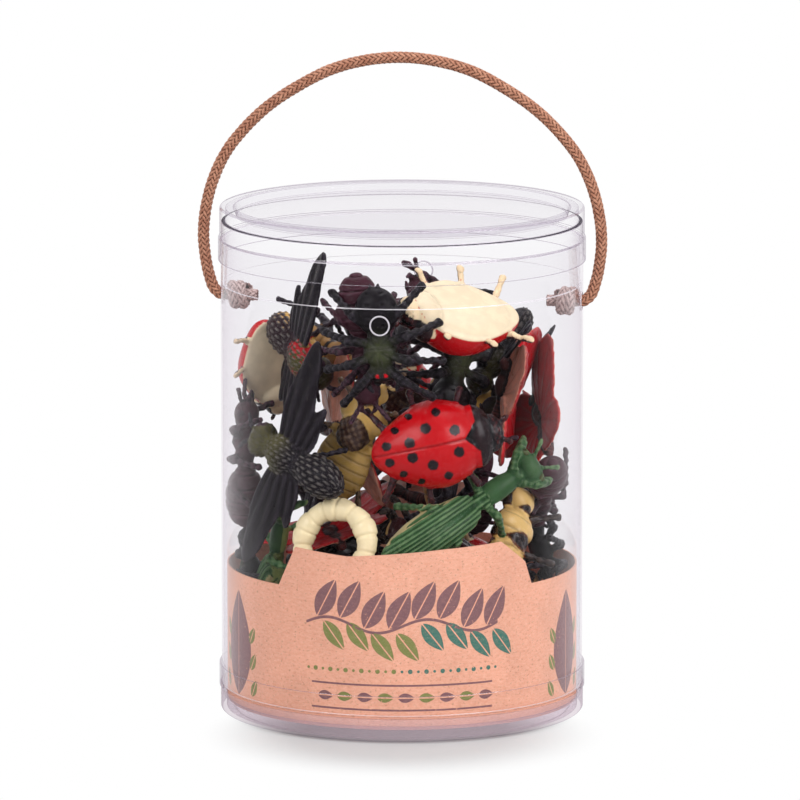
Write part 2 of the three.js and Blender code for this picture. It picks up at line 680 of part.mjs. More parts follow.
// The knots turn with the handle, so toys keep clear of a ball round each
for (const side of [1, -1]) {
  const at = new THREE.Vector3(side * (KNOT_FACE - KNOT_LENGTH / 2), 0, HOLE_HEIGHT);
  const { x, y, z } = at.applyAxisAngle(new THREE.Vector3(0, 0, 1), -FRONT_TURN);
  placed.push({ x, y, z, radius: KNOT_WIDTH * 0.8 });
}
contents.add(...FRONT_TOYS.map((toy, k) => pushIn(toy, k)), ...FILLERS.map((toy, k) => dropIn(toy, k)));
bucket.add(contents);

export default bucket;
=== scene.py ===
"""A clear tub of toy insects, dressed over its solid model.

The tub is a rolled clear sheet between two moulded caps. A kraft paper band stands inside it, a
braided cord handle goes through two punched holes, and the tub is full of moulded toy insects.
Sizes are in millimetres until a mesh is finished, and MM turns them to metres.
"""

from __future__ import annotations

import logging
from abc import ABC, abstractmethod
from dataclasses import dataclass, field
from enum import Enum
from math import cos, hypot, pi, radians, sin, sqrt

import bmesh
import bpy
import numpy as np
from bmesh.types import BMesh, BMVert
from bpy.types import ID, Curve, Material, Mesh, MeshPolygon, Node, NodeSocket, NodeTree, Object
from mathutils import Matrix, Quaternion, Vector
from mathutils.kdtree import KDTree

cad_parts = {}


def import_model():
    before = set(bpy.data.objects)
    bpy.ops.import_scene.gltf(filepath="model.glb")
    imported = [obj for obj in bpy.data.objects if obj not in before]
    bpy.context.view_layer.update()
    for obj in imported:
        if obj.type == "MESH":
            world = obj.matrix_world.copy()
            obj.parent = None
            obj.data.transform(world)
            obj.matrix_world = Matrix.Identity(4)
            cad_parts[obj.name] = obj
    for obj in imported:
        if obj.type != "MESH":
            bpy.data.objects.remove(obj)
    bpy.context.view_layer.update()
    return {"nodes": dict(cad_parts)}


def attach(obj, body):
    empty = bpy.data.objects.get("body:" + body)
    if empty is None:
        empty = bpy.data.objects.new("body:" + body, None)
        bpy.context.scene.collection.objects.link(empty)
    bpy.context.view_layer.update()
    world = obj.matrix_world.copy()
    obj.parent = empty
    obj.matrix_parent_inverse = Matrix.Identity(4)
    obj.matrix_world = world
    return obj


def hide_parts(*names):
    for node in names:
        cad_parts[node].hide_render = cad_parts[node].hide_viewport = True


LOG = logging.getLogger("tub")
MM = 0.001
# Turns over which an edge stays sharp, on most pieces and on the clear ones
SHARP_DEG = 38.0
CRISP_DEG = 12.0
# Corners of the clear pieces that turn by more are rounded
EASED_DEG = 24.0
# How many times a bead's size a point may lie out and still be on it
NEAR_BEAD = 1.12

Point = tuple[float, float, float]
Pair = tuple[float, float]
Pairs = tuple[Pair, ...]
Array = np.ndarray
# A pair of legs: place along the body, sweep in degrees, reach, height of the knee and of the foot
Legs = tuple[tuple[float, float, float, float, float], ...]


class Body(Enum):
    """The bodies of the solid model that a piece can ride on."""

    TUB = "tub"
    LID = "lid"
    HANDLE = "handle"


class Slot(Enum):
    """The record's material slots."""

    CLEAR = "clear_plastic"
    KRAFT = "kraft_paper"
    CORD = "cord_braid"
    RED = "toy_red"
    BLACK = "toy_black"
    MAROON = "toy_maroon"
    GREEN = "toy_green"
    PURPLE = "toy_purple"
    CRIMSON = "toy_crimson"
    YELLOW = "toy_yellow"
    CREAM = "toy_cream"
    TAN = "toy_tan"


# Shared helpers


def linear(colour: str) -> tuple[float, float, float, float]:
    """Turns an sRGB hex colour to linear.

    Args:
        colour: Six hex digits.

    Returns:
        Linear red, green, blue and an alpha of 1.
    """
    parts = [int(colour[k : k + 2], 16) / 255 for k in (0, 2, 4)]
    red, green, blue = (c / 12.92 if c <= 0.04045 else ((c + 0.055) / 1.055) ** 2.4 for c in parts)
    return (red, green, blue, 1.0)


def add(tree: NodeTree, kind: str, inputs: dict | None = None, **settings: object) -> Node:
    """Adds one node.

    Args:
        tree: The node tree.
        kind: The node's type, without the words ShaderNode in front.
        inputs: Values, sockets or nodes for its inputs, by name or number. Of a node, the first output
            is linked.
        **settings: Properties of the node.

    Returns:
        The new node.
    """
    node = tree.nodes.new(f"ShaderNode{kind}")
    for key, value in settings.items():
        setattr(node, key, value)
    for key, value in (inputs or {}).items():
        source = value.outputs[0] if isinstance(value, Node) else value
        if isinstance(source, NodeSocket):
            tree.links.new(source, node.inputs[key])
        else:
            node.inputs[key].default_value = source
    return node


def blank_material(name: str) -> tuple[Material, NodeTree]:
    """Starts a material with an empty node tree.

    Args:
        name: The material's name.

    Returns:
        The material and its tree.
    """
    material = bpy.data.materials.new(name)
    material.use_nodes = True
    material.node_tree.nodes.clear()
    return material, material.node_tree


def object_of(name: str, data: ID) -> Object:
    """Puts a mesh, curve, lamp or camera into the scene."""
    thing = bpy.data.objects.new(name, data)
    bpy.context.scene.collection.objects.link(thing)
    return thing


def mesh_of(name: str, bm: BMesh, sharp_deg: float = SHARP_DEG) -> Mesh:
    """Ends a bmesh as a smooth-shaded mesh.

    Args:
        name: The mesh's name.
        bm: The bmesh, freed here.
        sharp_deg: The least turn at which an edge stays sharp.

    Returns:
        The mesh.
    """
    mesh = bpy.data.meshes.new(name)
    bm.to_mesh(mesh)
    bm.free()
    mesh.shade_smooth()
    mesh.set_sharp_from_angle(angle=radians(sharp_deg))
    return mesh


def made_mesh(thing: Object) -> Mesh:
    """Makes a mesh of an object with its modifiers applied, and removes the object."""
    ready = thing.evaluated_get(bpy.context.evaluated_depsgraph_get())
    mesh = bpy.data.meshes.new_from_object(ready)
    source = thing.data
    bpy.data.objects.remove(thing)
    if isinstance(source, Mesh):
        bpy.data.meshes.remove(source)
    else:
        bpy.data.curves.remove(source)
    return mesh


def hand_over(thing: Object, body: Body, nodes: tuple[str, ...] = ()) -> Object:
    """Gives a finished piece its body and the nodes that it stands for.

    Args:
        thing: The piece.
        body: The body that it rides on.
        nodes: The nodes of the solid model that it replaces.

    Returns:
        The piece.
    """
    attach(thing, body.value)
    if nodes:
        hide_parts(*nodes)
    LOG.info("%s: %d faces on %s", thing.name, len(thing.data.polygons), body.value)
    return thing


def spun(profile: list[Pair], closed: bool, steps: int) -> BMesh:
    """Turns a profile round the Z axis.

    Args:
        profile: Radius and height of each corner.
        closed: Whether the last corner joins the first.
        steps: How many facets go round.

    Returns:
        A closed skin with its faces outwards.
    """
    bm = bmesh.new()
    corners = [bm.verts.new((radius, 0, height)) for radius, height in profile]
    pairs = list(zip(corners, corners[1:]))
    if closed:
        pairs.append((corners[-1], corners[0]))
    edges = [bm.edges.new(pair) for pair in pairs]
    whole = {"angle": 2 * pi, "steps": steps, "use_merge": True}
    bmesh.ops.spin(bm, geom=corners + edges, cent=(0, 0, 0), axis=(0, 0, 1), **whole)
    bmesh.ops.remove_doubles(bm, verts=bm.verts, dist=1e-4)
    bmesh.ops.recalc_face_normals(bm, faces=bm.faces)
    return bm


def softened(bm: BMesh, width: float, segments: int, over_deg: float) -> None:
    """Rounds every edge that turns by more than an angle.

    Args:
        bm: The bmesh to change.
        width: The bevel's offset.
        segments: The bevel's segments.
        over_deg: The least turn between the two faces.
    """
    limit = radians(over_deg)
    edges = [e for e in bm.edges if e.is_manifold and e.calc_face_angle(0.0) > limit]
    form = {"affect": "EDGES", "segments": segments, "profile": 0.5, "material": -1}
    bmesh.ops.bevel(bm, geom=edges, offset=width, clamp_overlap=True, **form)


def ease(low: float, high: float, values: Array) -> Array:
    """Smooth step from 0 at low to 1 at high."""
    share = np.clip((values - low) / (high - low), 0.0, 1.0)
    return share * share * (3 - 2 * share)


def run_along(line: Array) -> Array:
    """How far along a line each of its points is."""
    return np.concatenate([[0.0], np.cumsum(np.linalg.norm(np.diff(line, axis=0), axis=1))])


def near_tree(points: Array) -> KDTree:
    """A search tree for the nearest of some points."""
    tree = KDTree(len(points))
    for k, point in enumerate(points):
        tree.insert(point, k)
    tree.balance()
    return tree


def points_of(mesh: Mesh) -> Array:
    """A mesh's vertices as rows."""
    rows = np.empty(len(mesh.vertices) * 3)
    mesh.vertices.foreach_get("co", rows)
    return rows.reshape(-1, 3)


# Finishes


@dataclass(frozen=True)
class ClearSheet:
    """Clear PVC or polystyrene: see-through, glossy, a little lilac, darker where the wall is seen
    along its length, and with a faint haze."""

    name: str
    tint: str
    edge_tint: str
    least_gloss: float
    most_gloss: float
    haze: float
    steepness: float = 3.5
    dust: str = "F4F2F6"
    wave_mm: float = 34.0
    wave_depth: float = 0.05

    def make(self) -> Material:
        """Builds the material."""
        material, tree = blank_material(self.name)
        where = add(tree, "TexCoord")
        scale = 1 / (self.wave_mm * MM)
        wave = add(tree, "TexNoise", {"Vector": where.outputs["Object"], "Scale": scale, "Detail": 1.0})
        bump = add(tree, "Bump", {"Height": wave, "Strength": self.wave_depth, "Distance": 0.002})
        facing = add(tree, "LayerWeight", {"Blend": 0.5})
        steep = add(tree, "Math", {0: facing.outputs["Facing"], 1: self.steepness}, operation="POWER")
        colours = {0: steep, 6: linear(self.tint), 7: linear(self.edge_tint)}
        tint = add(tree, "Mix", colours, data_type="RGBA")
        through = add(tree, "BsdfTransparent", {"Color": tint.outputs[2]})
        dust = add(tree, "BsdfDiffuse", {"Color": linear(self.dust)})
        hazy = add(tree, "MixShader", {0: self.haze, 1: through, 2: dust})
        shine = add(tree, "BsdfGlossy", {"Color": linear("F5F2F5"), "Roughness": 0.035, "Normal": bump})
        bounds = {0: steep, 1: 0.0, 2: 1.0, 3: self.least_gloss, 4: self.most_gloss}
        share = add(tree, "MapRange", bounds)
        both = add(tree, "MixShader", {0: share, 1: hazy, 2: shine})
        add(tree, "OutputMaterial", {"Surface": both})
        return material


@dataclass(frozen=True)
class KraftBoard:
    """Brown kraft board: matt, with long pale and dark fibres that run round the band, and specks."""

    name: str = "kraft_board"
    ground: str = "EAA587"
    fibre: str = "FAC2A5"
    speck: str = "B0805F"
    fibre_mm: float = 0.8
    speck_mm: float = 0.8
    cloud_mm: float = 14.0

    def ground_colour(self, tree: NodeTree) -> tuple[NodeSocket, NodeSocket]:
        """Adds the board's colour.

        Args:
            tree: The node tree.

        Returns:
            The colour's socket and a height for bump.
        """
        where = add(tree, "UVMap", uv_map="sheet_mm")
        along = add(tree, "Mapping", {"Vector": where, "Scale": (0.45, 1.0, 1.0)})
        strands = {"Vector": along, "Scale": 1 / self.fibre_mm, "Detail": 4.0, "Roughness": 0.62}
        fibres = add(tree, "TexNoise", strands)
        cloud = add(tree, "TexNoise", {"Vector": where, "Scale": 1 / self.cloud_mm, "Detail": 2.0})
        specks = add(tree, "TexNoise", {"Vector": where, "Scale": 1 / self.speck_mm, "Detail": 1.0})
        rare = add(tree, "MapRange", {0: specks, 1: 0.6, 2: 0.76, 3: 0.0, 4: 0.6})
        spread = add(tree, "MapRange", {0: fibres, 1: 0.25, 2: 0.75, 3: 0.0, 4: 1.0})
        tones = {0: spread, 6: linear(self.ground), 7: linear(self.fibre)}
        pale = add(tree, "Mix", tones, data_type="RGBA")
        spotted = add(tree, "Mix", {0: rare, 6: pale.outputs[2], 7: linear(self.speck)}, data_type="RGBA")
        depth = add(tree, "MapRange", {0: cloud, 1: 0.3, 2: 0.7, 3: 0.93, 4: 1.05})
        shades = {0: 1.0, 6: spotted.outputs[2], 7: depth}
        final = add(tree, "Mix", shades, data_type="RGBA", blend_type="MULTIPLY")
        return final.outputs[2], fibres.outputs["Fac"]

    def make(self) -> Material:
        """Builds the material."""
        material, tree = blank_material(self.name)
        colour, height = self.ground_colour(tree)
        bump = add(tree, "Bump", {"Height": height, "Strength": 0.1, "Distance": 0.0002})
        looks = {"Base Color": colour, "Roughness": 0.82, "Specular IOR Level": 0.3, "Normal": bump}
        skin = add(tree, "BsdfPrincipled", looks)
        add(tree, "OutputMaterial", {"Surface": skin})
        return material


@dataclass(frozen=True)
class PrintInk:
    """Flat printing ink on kraft board: matt, thin enough for the board's fibres, and chipped."""

    name: str
    ink: str
    chip_mm: float = 1.5

    def make(self, board: KraftBoard) -> Material:
        """Builds the material.

        Args:
            board: The board that shows where the ink is chipped.

        Returns:
            The material.
        """
        material, tree = blank_material(self.name)
        colour, height = board.ground_colour(tree)
        where = add(tree, "UVMap", uv_map="sheet_mm")
        flakes = {"Vector": where, "Scale": 1 / self.chip_mm, "Detail": 4.0, "Roughness": 0.7}
        chips = add(tree, "TexNoise", flakes)
        bare = add(tree, "MapRange", {0: chips, 1: 0.64, 2: 0.67, 3: 0.0, 4: 0.9})
        worn = add(tree, "MapRange", {0: height, 1: 0.3, 2: 0.75, 3: 0.0, 4: 0.14})
        inked = add(tree, "Mix", {0: worn, 6: linear(self.ink), 7: colour}, data_type="RGBA")
        chipped = add(tree, "Mix", {0: bare, 6: inked.outputs[2], 7: colour}, data_type="RGBA")
        looks = {"Base Color": chipped.outputs[2], "Roughness": 0.72, "Specular IOR Level": 0.35}
        skin = add(tree, "BsdfPrincipled", looks)
        add(tree, "OutputMaterial", {"Surface": skin})
        return material


@dataclass(frozen=True)
class BraidYarn:
    """Spun polyester yarn in a round braid: soft, slightly silky and finely hairy, with painted shade
    where two yarns cross. The mesh's crest attribute says how far out of the crossings a point lies."""

    name: str = "braided_yarn"
    light: str = "C48E73"
    middle: str = "A66E56"
    dark: str = "4A2412"
    fibre_mm: float = 0.32
    heather_mm: float = 2.2

    def make(self) -> Material:
        """Builds the material."""
        material, tree = blank_material(self.name)
        where = add(tree, "TexCoord")
        crest = add(tree, "Attribute", attribute_name="crest")
        fine = {"Vector": where.outputs["Object"], "Scale": 1 / (self.fibre_mm * MM), "Detail": 2.0}
        fibres = add(tree, "TexNoise", fine)
        coarse = {"Vector": where.outputs["Object"], "Scale": 1 / (self.heather_mm * MM), "Detail": 3.0}
        heather = add(tree, "TexNoise", coarse)
        blend = add(tree, "MapRange", {0: heather, 1: 0.3, 2: 0.7, 3: 0.0, 4: 1.0})
        tones = {0: blend, 6: linear(self.middle), 7: linear(self.light)}
        tone = add(tree, "Mix", tones, data_type="RGBA")
        # Painted shade: the yarn darkens towards the grooves between crossing yarns.
        depths = {0: crest.outputs["Fac"], 6: linear(self.dark), 7: tone.outputs[2]}
        colour = add(tree, "Mix", depths, data_type="RGBA")
        bump = add(tree, "Bump", {"Height": fibres, "Strength": 0.5, "Distance": 0.0002})
        looks = {"Base Color": colour.outputs[2], "Roughness": 0.72, "Specular IOR Level": 0.3}
        looks |= {"Sheen Weight": 0.15, "Sheen Roughness": 0.4, "Normal": bump}
        skin = add(tree, "BsdfPrincipled", looks)
        add(tree, "OutputMaterial", {"Surface": skin})
        return material


@dataclass(frozen=True)
class SoftVinyl:
    """Moulded soft vinyl with sprayed and dabbed paint: satin, finely grained, blotchy by a few per cent
    and flecked with pale dabs. The paint itself is the mesh's own colour attribute, and cast holds the
    mould's millimetres."""

    name: str
    roughness: float
    coat: float
    specular: float
    fleck: float
    mottle: float
    grain_mm: float = 0.6
    blotch_mm: float = 4.0
    fleck_mm: float = 1.1

    def make(self) -> Material:
        """Builds the material."""
        material, tree = blank_material(self.name)
        paint = add(tree, "Attribute", attribute_name="paint")
        mould = add(tree, "Attribute", attribute_name="cast").outputs["Vector"]
        grain = add(tree, "TexNoise", {"Vector": mould, "Scale": 1 / self.grain_mm, "Detail": 2.0})
        blotch = add(tree, "TexNoise", {"Vector": mould, "Scale": 1 / self.blotch_mm, "Detail": 3.0})
        dabs = add(tree, "TexNoise", {"Vector": mould, "Scale": 1 / self.fleck_mm, "Detail": 2.0})
        tones = {0: blotch, 1: 0.3, 2: 0.7, 3: 1 - self.mottle, 4: 1 + self.mottle}
        depth = add(tree, "MapRange", tones)
        shades = {0: 1.0, 6: paint.outputs["Color"], 7: depth}
        colour = add(tree, "Mix", shades, data_type="RGBA", blend_type="MULTIPLY")
        dab = add(tree, "MapRange", {0: dabs, 1: 0.6, 2: 0.72, 3: 0.0, 4: self.fleck})
        dabbed = {0: dab, 6: colour.outputs[2], 7: linear("A39A8C")}
        flecked = add(tree, "Mix", dabbed, data_type="RGBA")
        ends = {0: blotch, 1: 0.3, 2: 0.7, 3: self.roughness - 0.07, 4: self.roughness + 0.09}
        satin = add(tree, "MapRange", ends)
        bump = add(tree, "Bump", {"Height": grain, "Strength": 0.2, "Distance": 0.0002})
        looks = {"Base Color": flecked.outputs[2], "Roughness": satin, "IOR": 1.5, "Normal": bump}
        looks |= {"Specular IOR Level": self.specular, "Coat Weight": self.coat, "Coat Roughness": 0.12}
        skin = add(tree, "BsdfPrincipled", looks)
        add(tree, "OutputMaterial", {"Surface": skin})
        return material


# Stage


@dataclass
class Studio:
    """A white studio: camera, soft lamps, floor and background."""

    turn_deg: float = 7.0
    rise_deg: float = 9.7
    distance_mm: float = 2600.0
    pixels: float = 800.0
    pixels_per_mm: float = 3.107
    aim_mm: Point = (-0.64, 0.0, 100.1)
    sensor_mm: float = 36.0
    world_light: float = 0.5
    floor_colour: str = "BEBEBE"
    floor_glow: float = 1.0
    shadow_mm: float = 45.0
    shadow_edge_mm: Pair = (30.0, 66.0)
    shadow_glow: float = 0.06

    def camera(self) -> None:
        """Adds the camera at the photograph's viewing angle."""
        turn = radians(self.turn_deg)
        rise = radians(self.rise_deg)
        level = cos(rise)
        towards = Vector((sin(turn) * level, -cos(turn) * level, sin(rise)))
        right = Vector((cos(turn), sin(turn), 0))
        aim = right * self.aim_mm[0] + Vector((0, 0, self.aim_mm[2]))
        lens = bpy.data.cameras.new("camera")
        lens.sensor_width = self.sensor_mm
        lens.lens = self.sensor_mm * self.distance_mm * self.pixels_per_mm / self.pixels
        lens.clip_end = 50.0
        view = object_of("camera", lens)
        view.location = (aim + towards * self.distance_mm) * MM
        view.rotation_euler = (-towards).to_track_quat("-Z", "Y").to_euler()
        bpy.context.scene.camera = view

    def lamp(self, name: str, at: Point, size: float, power: float) -> None:
        """Adds a square softbox that faces the tub.

        Args:
            name: The lamp's name.
            at: Its place in metres.
            size: Its side in metres.
            power: Its power in watts.
        """
        light = bpy.data.lights.new(name, "AREA")
        light.size = size
        light.energy = power
        box = object_of(name, light)
        box.location = at
        box.rotation_euler = (Vector((0, 0, 0.09)) - Vector(at)).to_track_quat("-Z", "Y").to_euler()

    def world(self) -> None:
        """White where it is seen, and an even dome of light for the rest."""
        world = bpy.data.worlds.new("studio")
        world.use_nodes = True
        tree = world.node_tree
        tree.nodes.clear()
        path = add(tree, "LightPath").outputs
        seen = add(tree, "Math", {0: path["Is Camera Ray"], 1: path["Is Glossy Ray"]}, operation="MAXIMUM")
        shown = add(tree, "Math", {0: seen, 1: path["Is Transmission Ray"]}, operation="MAXIMUM")
        dome = add(tree, "Background", {"Color": linear("F6F4F8"), "Strength": self.world_light})
        white = add(tree, "Background", {"Color": linear("FFFFFF"), "Strength": 1.0})
        both = add(tree, "MixShader", {0: shown, 1: dome, 2: white})
        add(tree, "OutputWorld", {"Surface": both})
        bpy.context.scene.world = world

    def floor(self) -> None:
        """A pale sweep that keeps the tub's soft shadow in front and burns out to white further off."""
        bm = bmesh.new()
        bmesh.ops.create_grid(bm, x_segments=1, y_segments=1, size=6.0)
        bmesh.ops.translate(bm, verts=bm.verts, vec=(0, 0, -0.0004))
        sweep = object_of("floor", mesh_of("floor", bm))
        material, tree = blank_material("white_paper_sweep")
        turn = radians(self.turn_deg)
        reach = self.shadow_mm * MM
        middle = (reach * sin(turn), -reach * cos(turn), 0.0)
        where = add(tree, "TexCoord")
        away = add(tree, "VectorMath", {0: where.outputs["Object"], 1: middle}, operation="DISTANCE")
        near, far = (edge * MM for edge in self.shadow_edge_mm)
        levels = {0: away.outputs["Value"], 1: near, 2: far, 3: self.shadow_glow, 4: self.floor_glow}
        burn = add(tree, "MapRange", levels, interpolation_type="SMOOTHSTEP")
        path = add(tree, "LightPath").outputs
        seen = add(tree, "Math", {0: path["Is Camera Ray"], 1: path["Is Glossy Ray"]}, operation="MAXIMUM")
        glow = add(tree, "Math", {0: seen, 1: burn}, operation="MULTIPLY")
        matt = add(tree, "BsdfDiffuse", {"Color": linear(self.floor_colour)})
        lit = add(tree, "Emission", {"Color": linear("FFFFFF"), "Strength": 1.0})
        both = add(tree, "MixShader", {0: glow, 1: matt, 2: lit})
        add(tree, "OutputMaterial", {"Surface": both})
        sweep.data.materials.append(material)

    def build(self) -> None:
        """Sets up the whole stage."""
        scene = bpy.context.scene
        scene.view_settings.view_transform = "Standard"
        scene.cycles.transparent_max_bounces = 40
        self.camera()
        self.world()
        self.floor()
        self.lamp("left_softbox", (-1.1, -1.3, 1.1), 1.0, 17.6)
        self.lamp("right_softbox", (1.3, -0.9, 0.9), 1.0, 21.0)
        self.lamp("top_softbox", (0.1, 0.3, 1.6), 1.2, 14.3)


# Tub


@dataclass
class Cap:
    """A moulded clear cap, its ring up at z = 0 and its skirt hanging down."""

    height: float
    step: float
    radius: float = 59.0
    wall: float = 0.5
    corner: float = 0.5
    shoulder: float = 0.45
    ring: float = 4.9
    block_height: float = 4.7
    block_wall: float = 1.9
    block_slope: float = 0.24
    panel_depth: float = 2.8
    eased: float = 0.16
    steps: int = 168

    def profile(self) -> list[Pair]:
        """Radius and height of each corner, from the panel's underside to its top."""
        wall, outer, step = self.wall, self.radius, self.step
        upper = outer - self.shoulder
        ring = upper - self.ring
        block = upper - self.block_wall
        panel = self.panel_depth
        inside = [(0.0, -panel - wall), (ring - wall, -panel - wall), (ring + wall, -wall)]
        inside += [(block, -wall), (block, -self.block_height)]
        inside += [(upper - wall, -self.block_height - self.block_slope), (upper - wall, -step - wall)]
        skirt = [(outer - wall, -step - wall), (outer - wall, -self.height)]
        skirt += [(outer, -self.height), (outer, -step)]
        top = [(upper, -step), (upper, -self.corner), (upper - self.corner, 0.0), (ring, 0.0)]
        return inside + skirt + top + [(ring - wall, -panel), (0.0, -panel)]

    def build(self, name: str, ring_height: float, upside_down: bool) -> Mesh:
        """Turns the cap and puts it in place.

        Args:
            name: The mesh's name.
            ring_height: Height of the ring's flat face.
            upside_down: Whether the ring faces down, as on the base.

        Returns:
            The mesh, in metres.
        """
        bm = spun(self.profile(), False, self.steps)
        softened(bm, self.eased, 2, EASED_DEG)
        if upside_down:
            bmesh.ops.rotate(bm, verts=bm.verts, matrix=Matrix.Rotation(pi, 3, "X"))
        bmesh.ops.translate(bm, verts=bm.verts, vec=(0, 0, ring_height))
        bmesh.ops.scale(bm, verts=bm.verts, vec=(MM, MM, MM))
        return mesh_of(name, bm, CRISP_DEG)


@dataclass
class Tube:
    """The rolled clear wall: its top edge is folded in, and four holes are punched below the fold."""

    radius: float = 58.2
    wall: float = 0.5
    foot: float = 8.3
    top: float = 152.7
    hem: float = 14.0
    hole_height: float = 133.5
    hole_diameter: float = 6.0
    holes: int = 4
    punch: float = 12.0
    lip: float = 0.27
    fold: float = 0.12
    steps: int = 168

    def lipped(self, mesh: Mesh, holes: list[Matrix]) -> None:
        """Adds a bead round each hole, which takes the sheet's whitish edge finish as a painted highlight.

        Args:
            mesh: The punched wall in millimetres.
            holes: Each hole's place, its axis along Z.
        """
        angles = [2 * pi * k / 8 for k in range(8)]
        bead = [(self.hole_diameter / 2 + self.lip * cos(a), self.lip * sin(a)) for a in angles]
        whole = bmesh.new()
        whole.from_mesh(mesh)
        for hole in holes:
            ring = spun(bead, True, 48)
            bmesh.ops.transform(ring, verts=ring.verts, matrix=hole)
            part = bpy.data.meshes.new("lip")
            ring.to_mesh(part)
            ring.free()
            whole.from_mesh(part)
            bpy.data.meshes.remove(part)
        whole.to_mesh(mesh)
        whole.free()
        mesh.shade_smooth()

    def build(self) -> Mesh:
        """Turns the wall, punches it and returns the mesh in metres."""
        bore = self.radius - self.wall
        fold = bore - self.wall
        low = self.top - self.hem
        profile = [(bore, self.foot), (self.radius, self.foot), (self.radius, self.top)]
        profile += [(fold, self.top), (fold, low), (bore, low)]
        bm = spun(profile, True, self.steps)
        softened(bm, self.fold, 2, EASED_DEG)
        wall = object_of("tube_wall", mesh_of("tube_wall", bm))
        punch = bmesh.new()
        across = Matrix.Translation((self.radius - self.wall / 2, 0, self.hole_height))
        across = across @ Matrix.Rotation(pi / 2, 4, "Y")
        turns = [Matrix.Rotation(2 * pi * k / self.holes, 4, "Z") for k in range(self.holes)]
        for turn in turns:
            ends = {"radius1": self.hole_diameter / 2, "radius2": self.hole_diameter / 2, "depth": self.punch}
            bmesh.ops.create_cone(punch, cap_ends=True, segments=40, matrix=turn @ across, **ends)
        cutter = object_of("punch", mesh_of("punch", punch))
        cut = wall.modifiers.new("punched", "BOOLEAN")
        cut.operation = "DIFFERENCE"
        cut.solver = "EXACT"
        cut.object = cutter
        mesh = made_mesh(wall)
        bpy.data.objects.remove(cutter)
        self.lipped(mesh, [turn @ across for turn in turns])
        mesh.transform(Matrix.Scale(MM, 4))
        mesh.set_sharp_from_angle(angle=radians(CRISP_DEG))
        mesh.name = "tube"
        return mesh


class Role(Enum):
    """What a face of a clear piece is, by the number of its material."""

    WALL = 0
    EDGE = 1
    TINTED = 2
    SHADED = 3
    FLAT = 4


@dataclass
class ClearTub:
    """The tube and its two caps. Each wall's faint grey sits on one of its two faces, so that it counts
    once for each wall that is looked through."""

    height: float = 163.5
    edge_area: float = 2.2
    step_radius: float = 56.4
    step_depth: Pair = (4.5, 5.2)
    foot: float = 4.9

    def build(self) -> None:
        """Makes and dresses the three clear pieces."""
        sheet = ClearSheet("clear_pvc_sheet", "FFFFFF", "FAF8FA", 0.001, 0.7, 0.0008, 4.2).make()
        inner = ClearSheet("clear_pvc_inner_face", "F8F7F9", "F4F2F5", 0.001, 0.7, 0.0008, 4.2).make()
        # Painted highlight: the sheet's small edge faces, round the holes and along the fold and hem, get a
        # whitish haze for the glints that they catch.
        cut = ClearSheet("sheared_sheet_edge", "F4F1F5", "D8D2DC", 0.05, 0.6, 0.5, dust="F0EDF2").make()
        moulded = ClearSheet("clear_moulded_styrene", "FFFFFF", "C9C2CA", 0.001, 0.3, 0.0008, 9.0).make()
        panel = ClearSheet("clear_moulded_panel", "F8F7F9", "DCD8DD", 0.001, 0.3, 0.0008, 12.0).make()
        flat = ClearSheet("clear_moulded_underside", "FFFFFF", "ECE9ED", 0.001, 0.2, 0.0008, 12.0).make()
        # Painted shade and highlight: the corner finish's grey tint and pale haze stand in for the dark lines
        # and glints along the caps' rounded edges, and the step's near black finish is the painted shade line
        # under the lid's step.
        rounded = ClearSheet("moulded_corner", "E2DDE4", "C4BDC7", 0.04, 0.6, 0.12, dust="D6D0D9").make()
        shade = ClearSheet("moulded_step_in_shade", "4A4450", "4A4450", 0.0, 0.1, 0.1, dust="6A6470").make()
        # Painted light: the foot ring's pinkish haze lightens the floor's shadow that shows through the ring.
        foot = ClearSheet("moulded_foot_ring", "F4EEF2", "D0C6D0", 0.001, 0.3, 0.28, 4.2, "DCCFD6").make()
        wall = object_of("clear_tube", Tube().build())
        self.dress(wall, (sheet, cut, inner))
        hand_over(wall, Body.TUB, ("tube",))
        lid = object_of("clear_lid", Cap(17.3, 10.0).build("clear_lid", self.height, False))
        self.dress(lid, (moulded, rounded, panel, shade, flat))
        hand_over(lid, Body.LID, ("lid",))
        base = object_of("clear_base", Cap(14.8, 7.5).build("clear_base", 0.0, True))
        self.dress(base, (moulded, rounded, panel, foot, flat))
        hand_over(base, Body.TUB, ("base_cap",))

    def role(self, face: MeshPolygon) -> Role:
        """What a face is: the lid's step or the foot ring, an edge, an inner or upper side, or wall."""
        reach = hypot(face.center.x, face.center.y) / MM
        drop = self.height - face.center.z / MM
        low, high = self.step_depth
        step = face.normal.z < -0.9 and low < drop < high
        ring = abs(face.normal.z) < 0.3 and face.center.z < self.foot * MM
        if reach > self.step_radius and (step or ring):
            return Role.SHADED
        if face.area < self.edge_area * MM * MM:
            return Role.EDGE
        if face.normal.z < -0.9:
            return Role.FLAT
        out = (face.normal.x * face.center.x + face.normal.y * face.center.y) / (reach * MM + 1e-9)
        if face.normal.z > 0.9 or (out < -0.9 and reach < Tube.radius - Tube.wall / 2):
            return Role.TINTED
        return Role.WALL

    def dress(self, piece: Object, finishes: tuple[Material, ...]) -> None:
        """Gives each face of a clear piece its finish.

        Args:
            piece: The piece.
            finishes: Finishes in the order of the roles. A role without one is plain wall.
        """
        for finish in finishes:
            piece.data.materials.append(finish)
        for face in piece.data.polygons:
            role = self.role(face).value
            face.material_index = role if role < len(finishes) else 0


# Kraft band


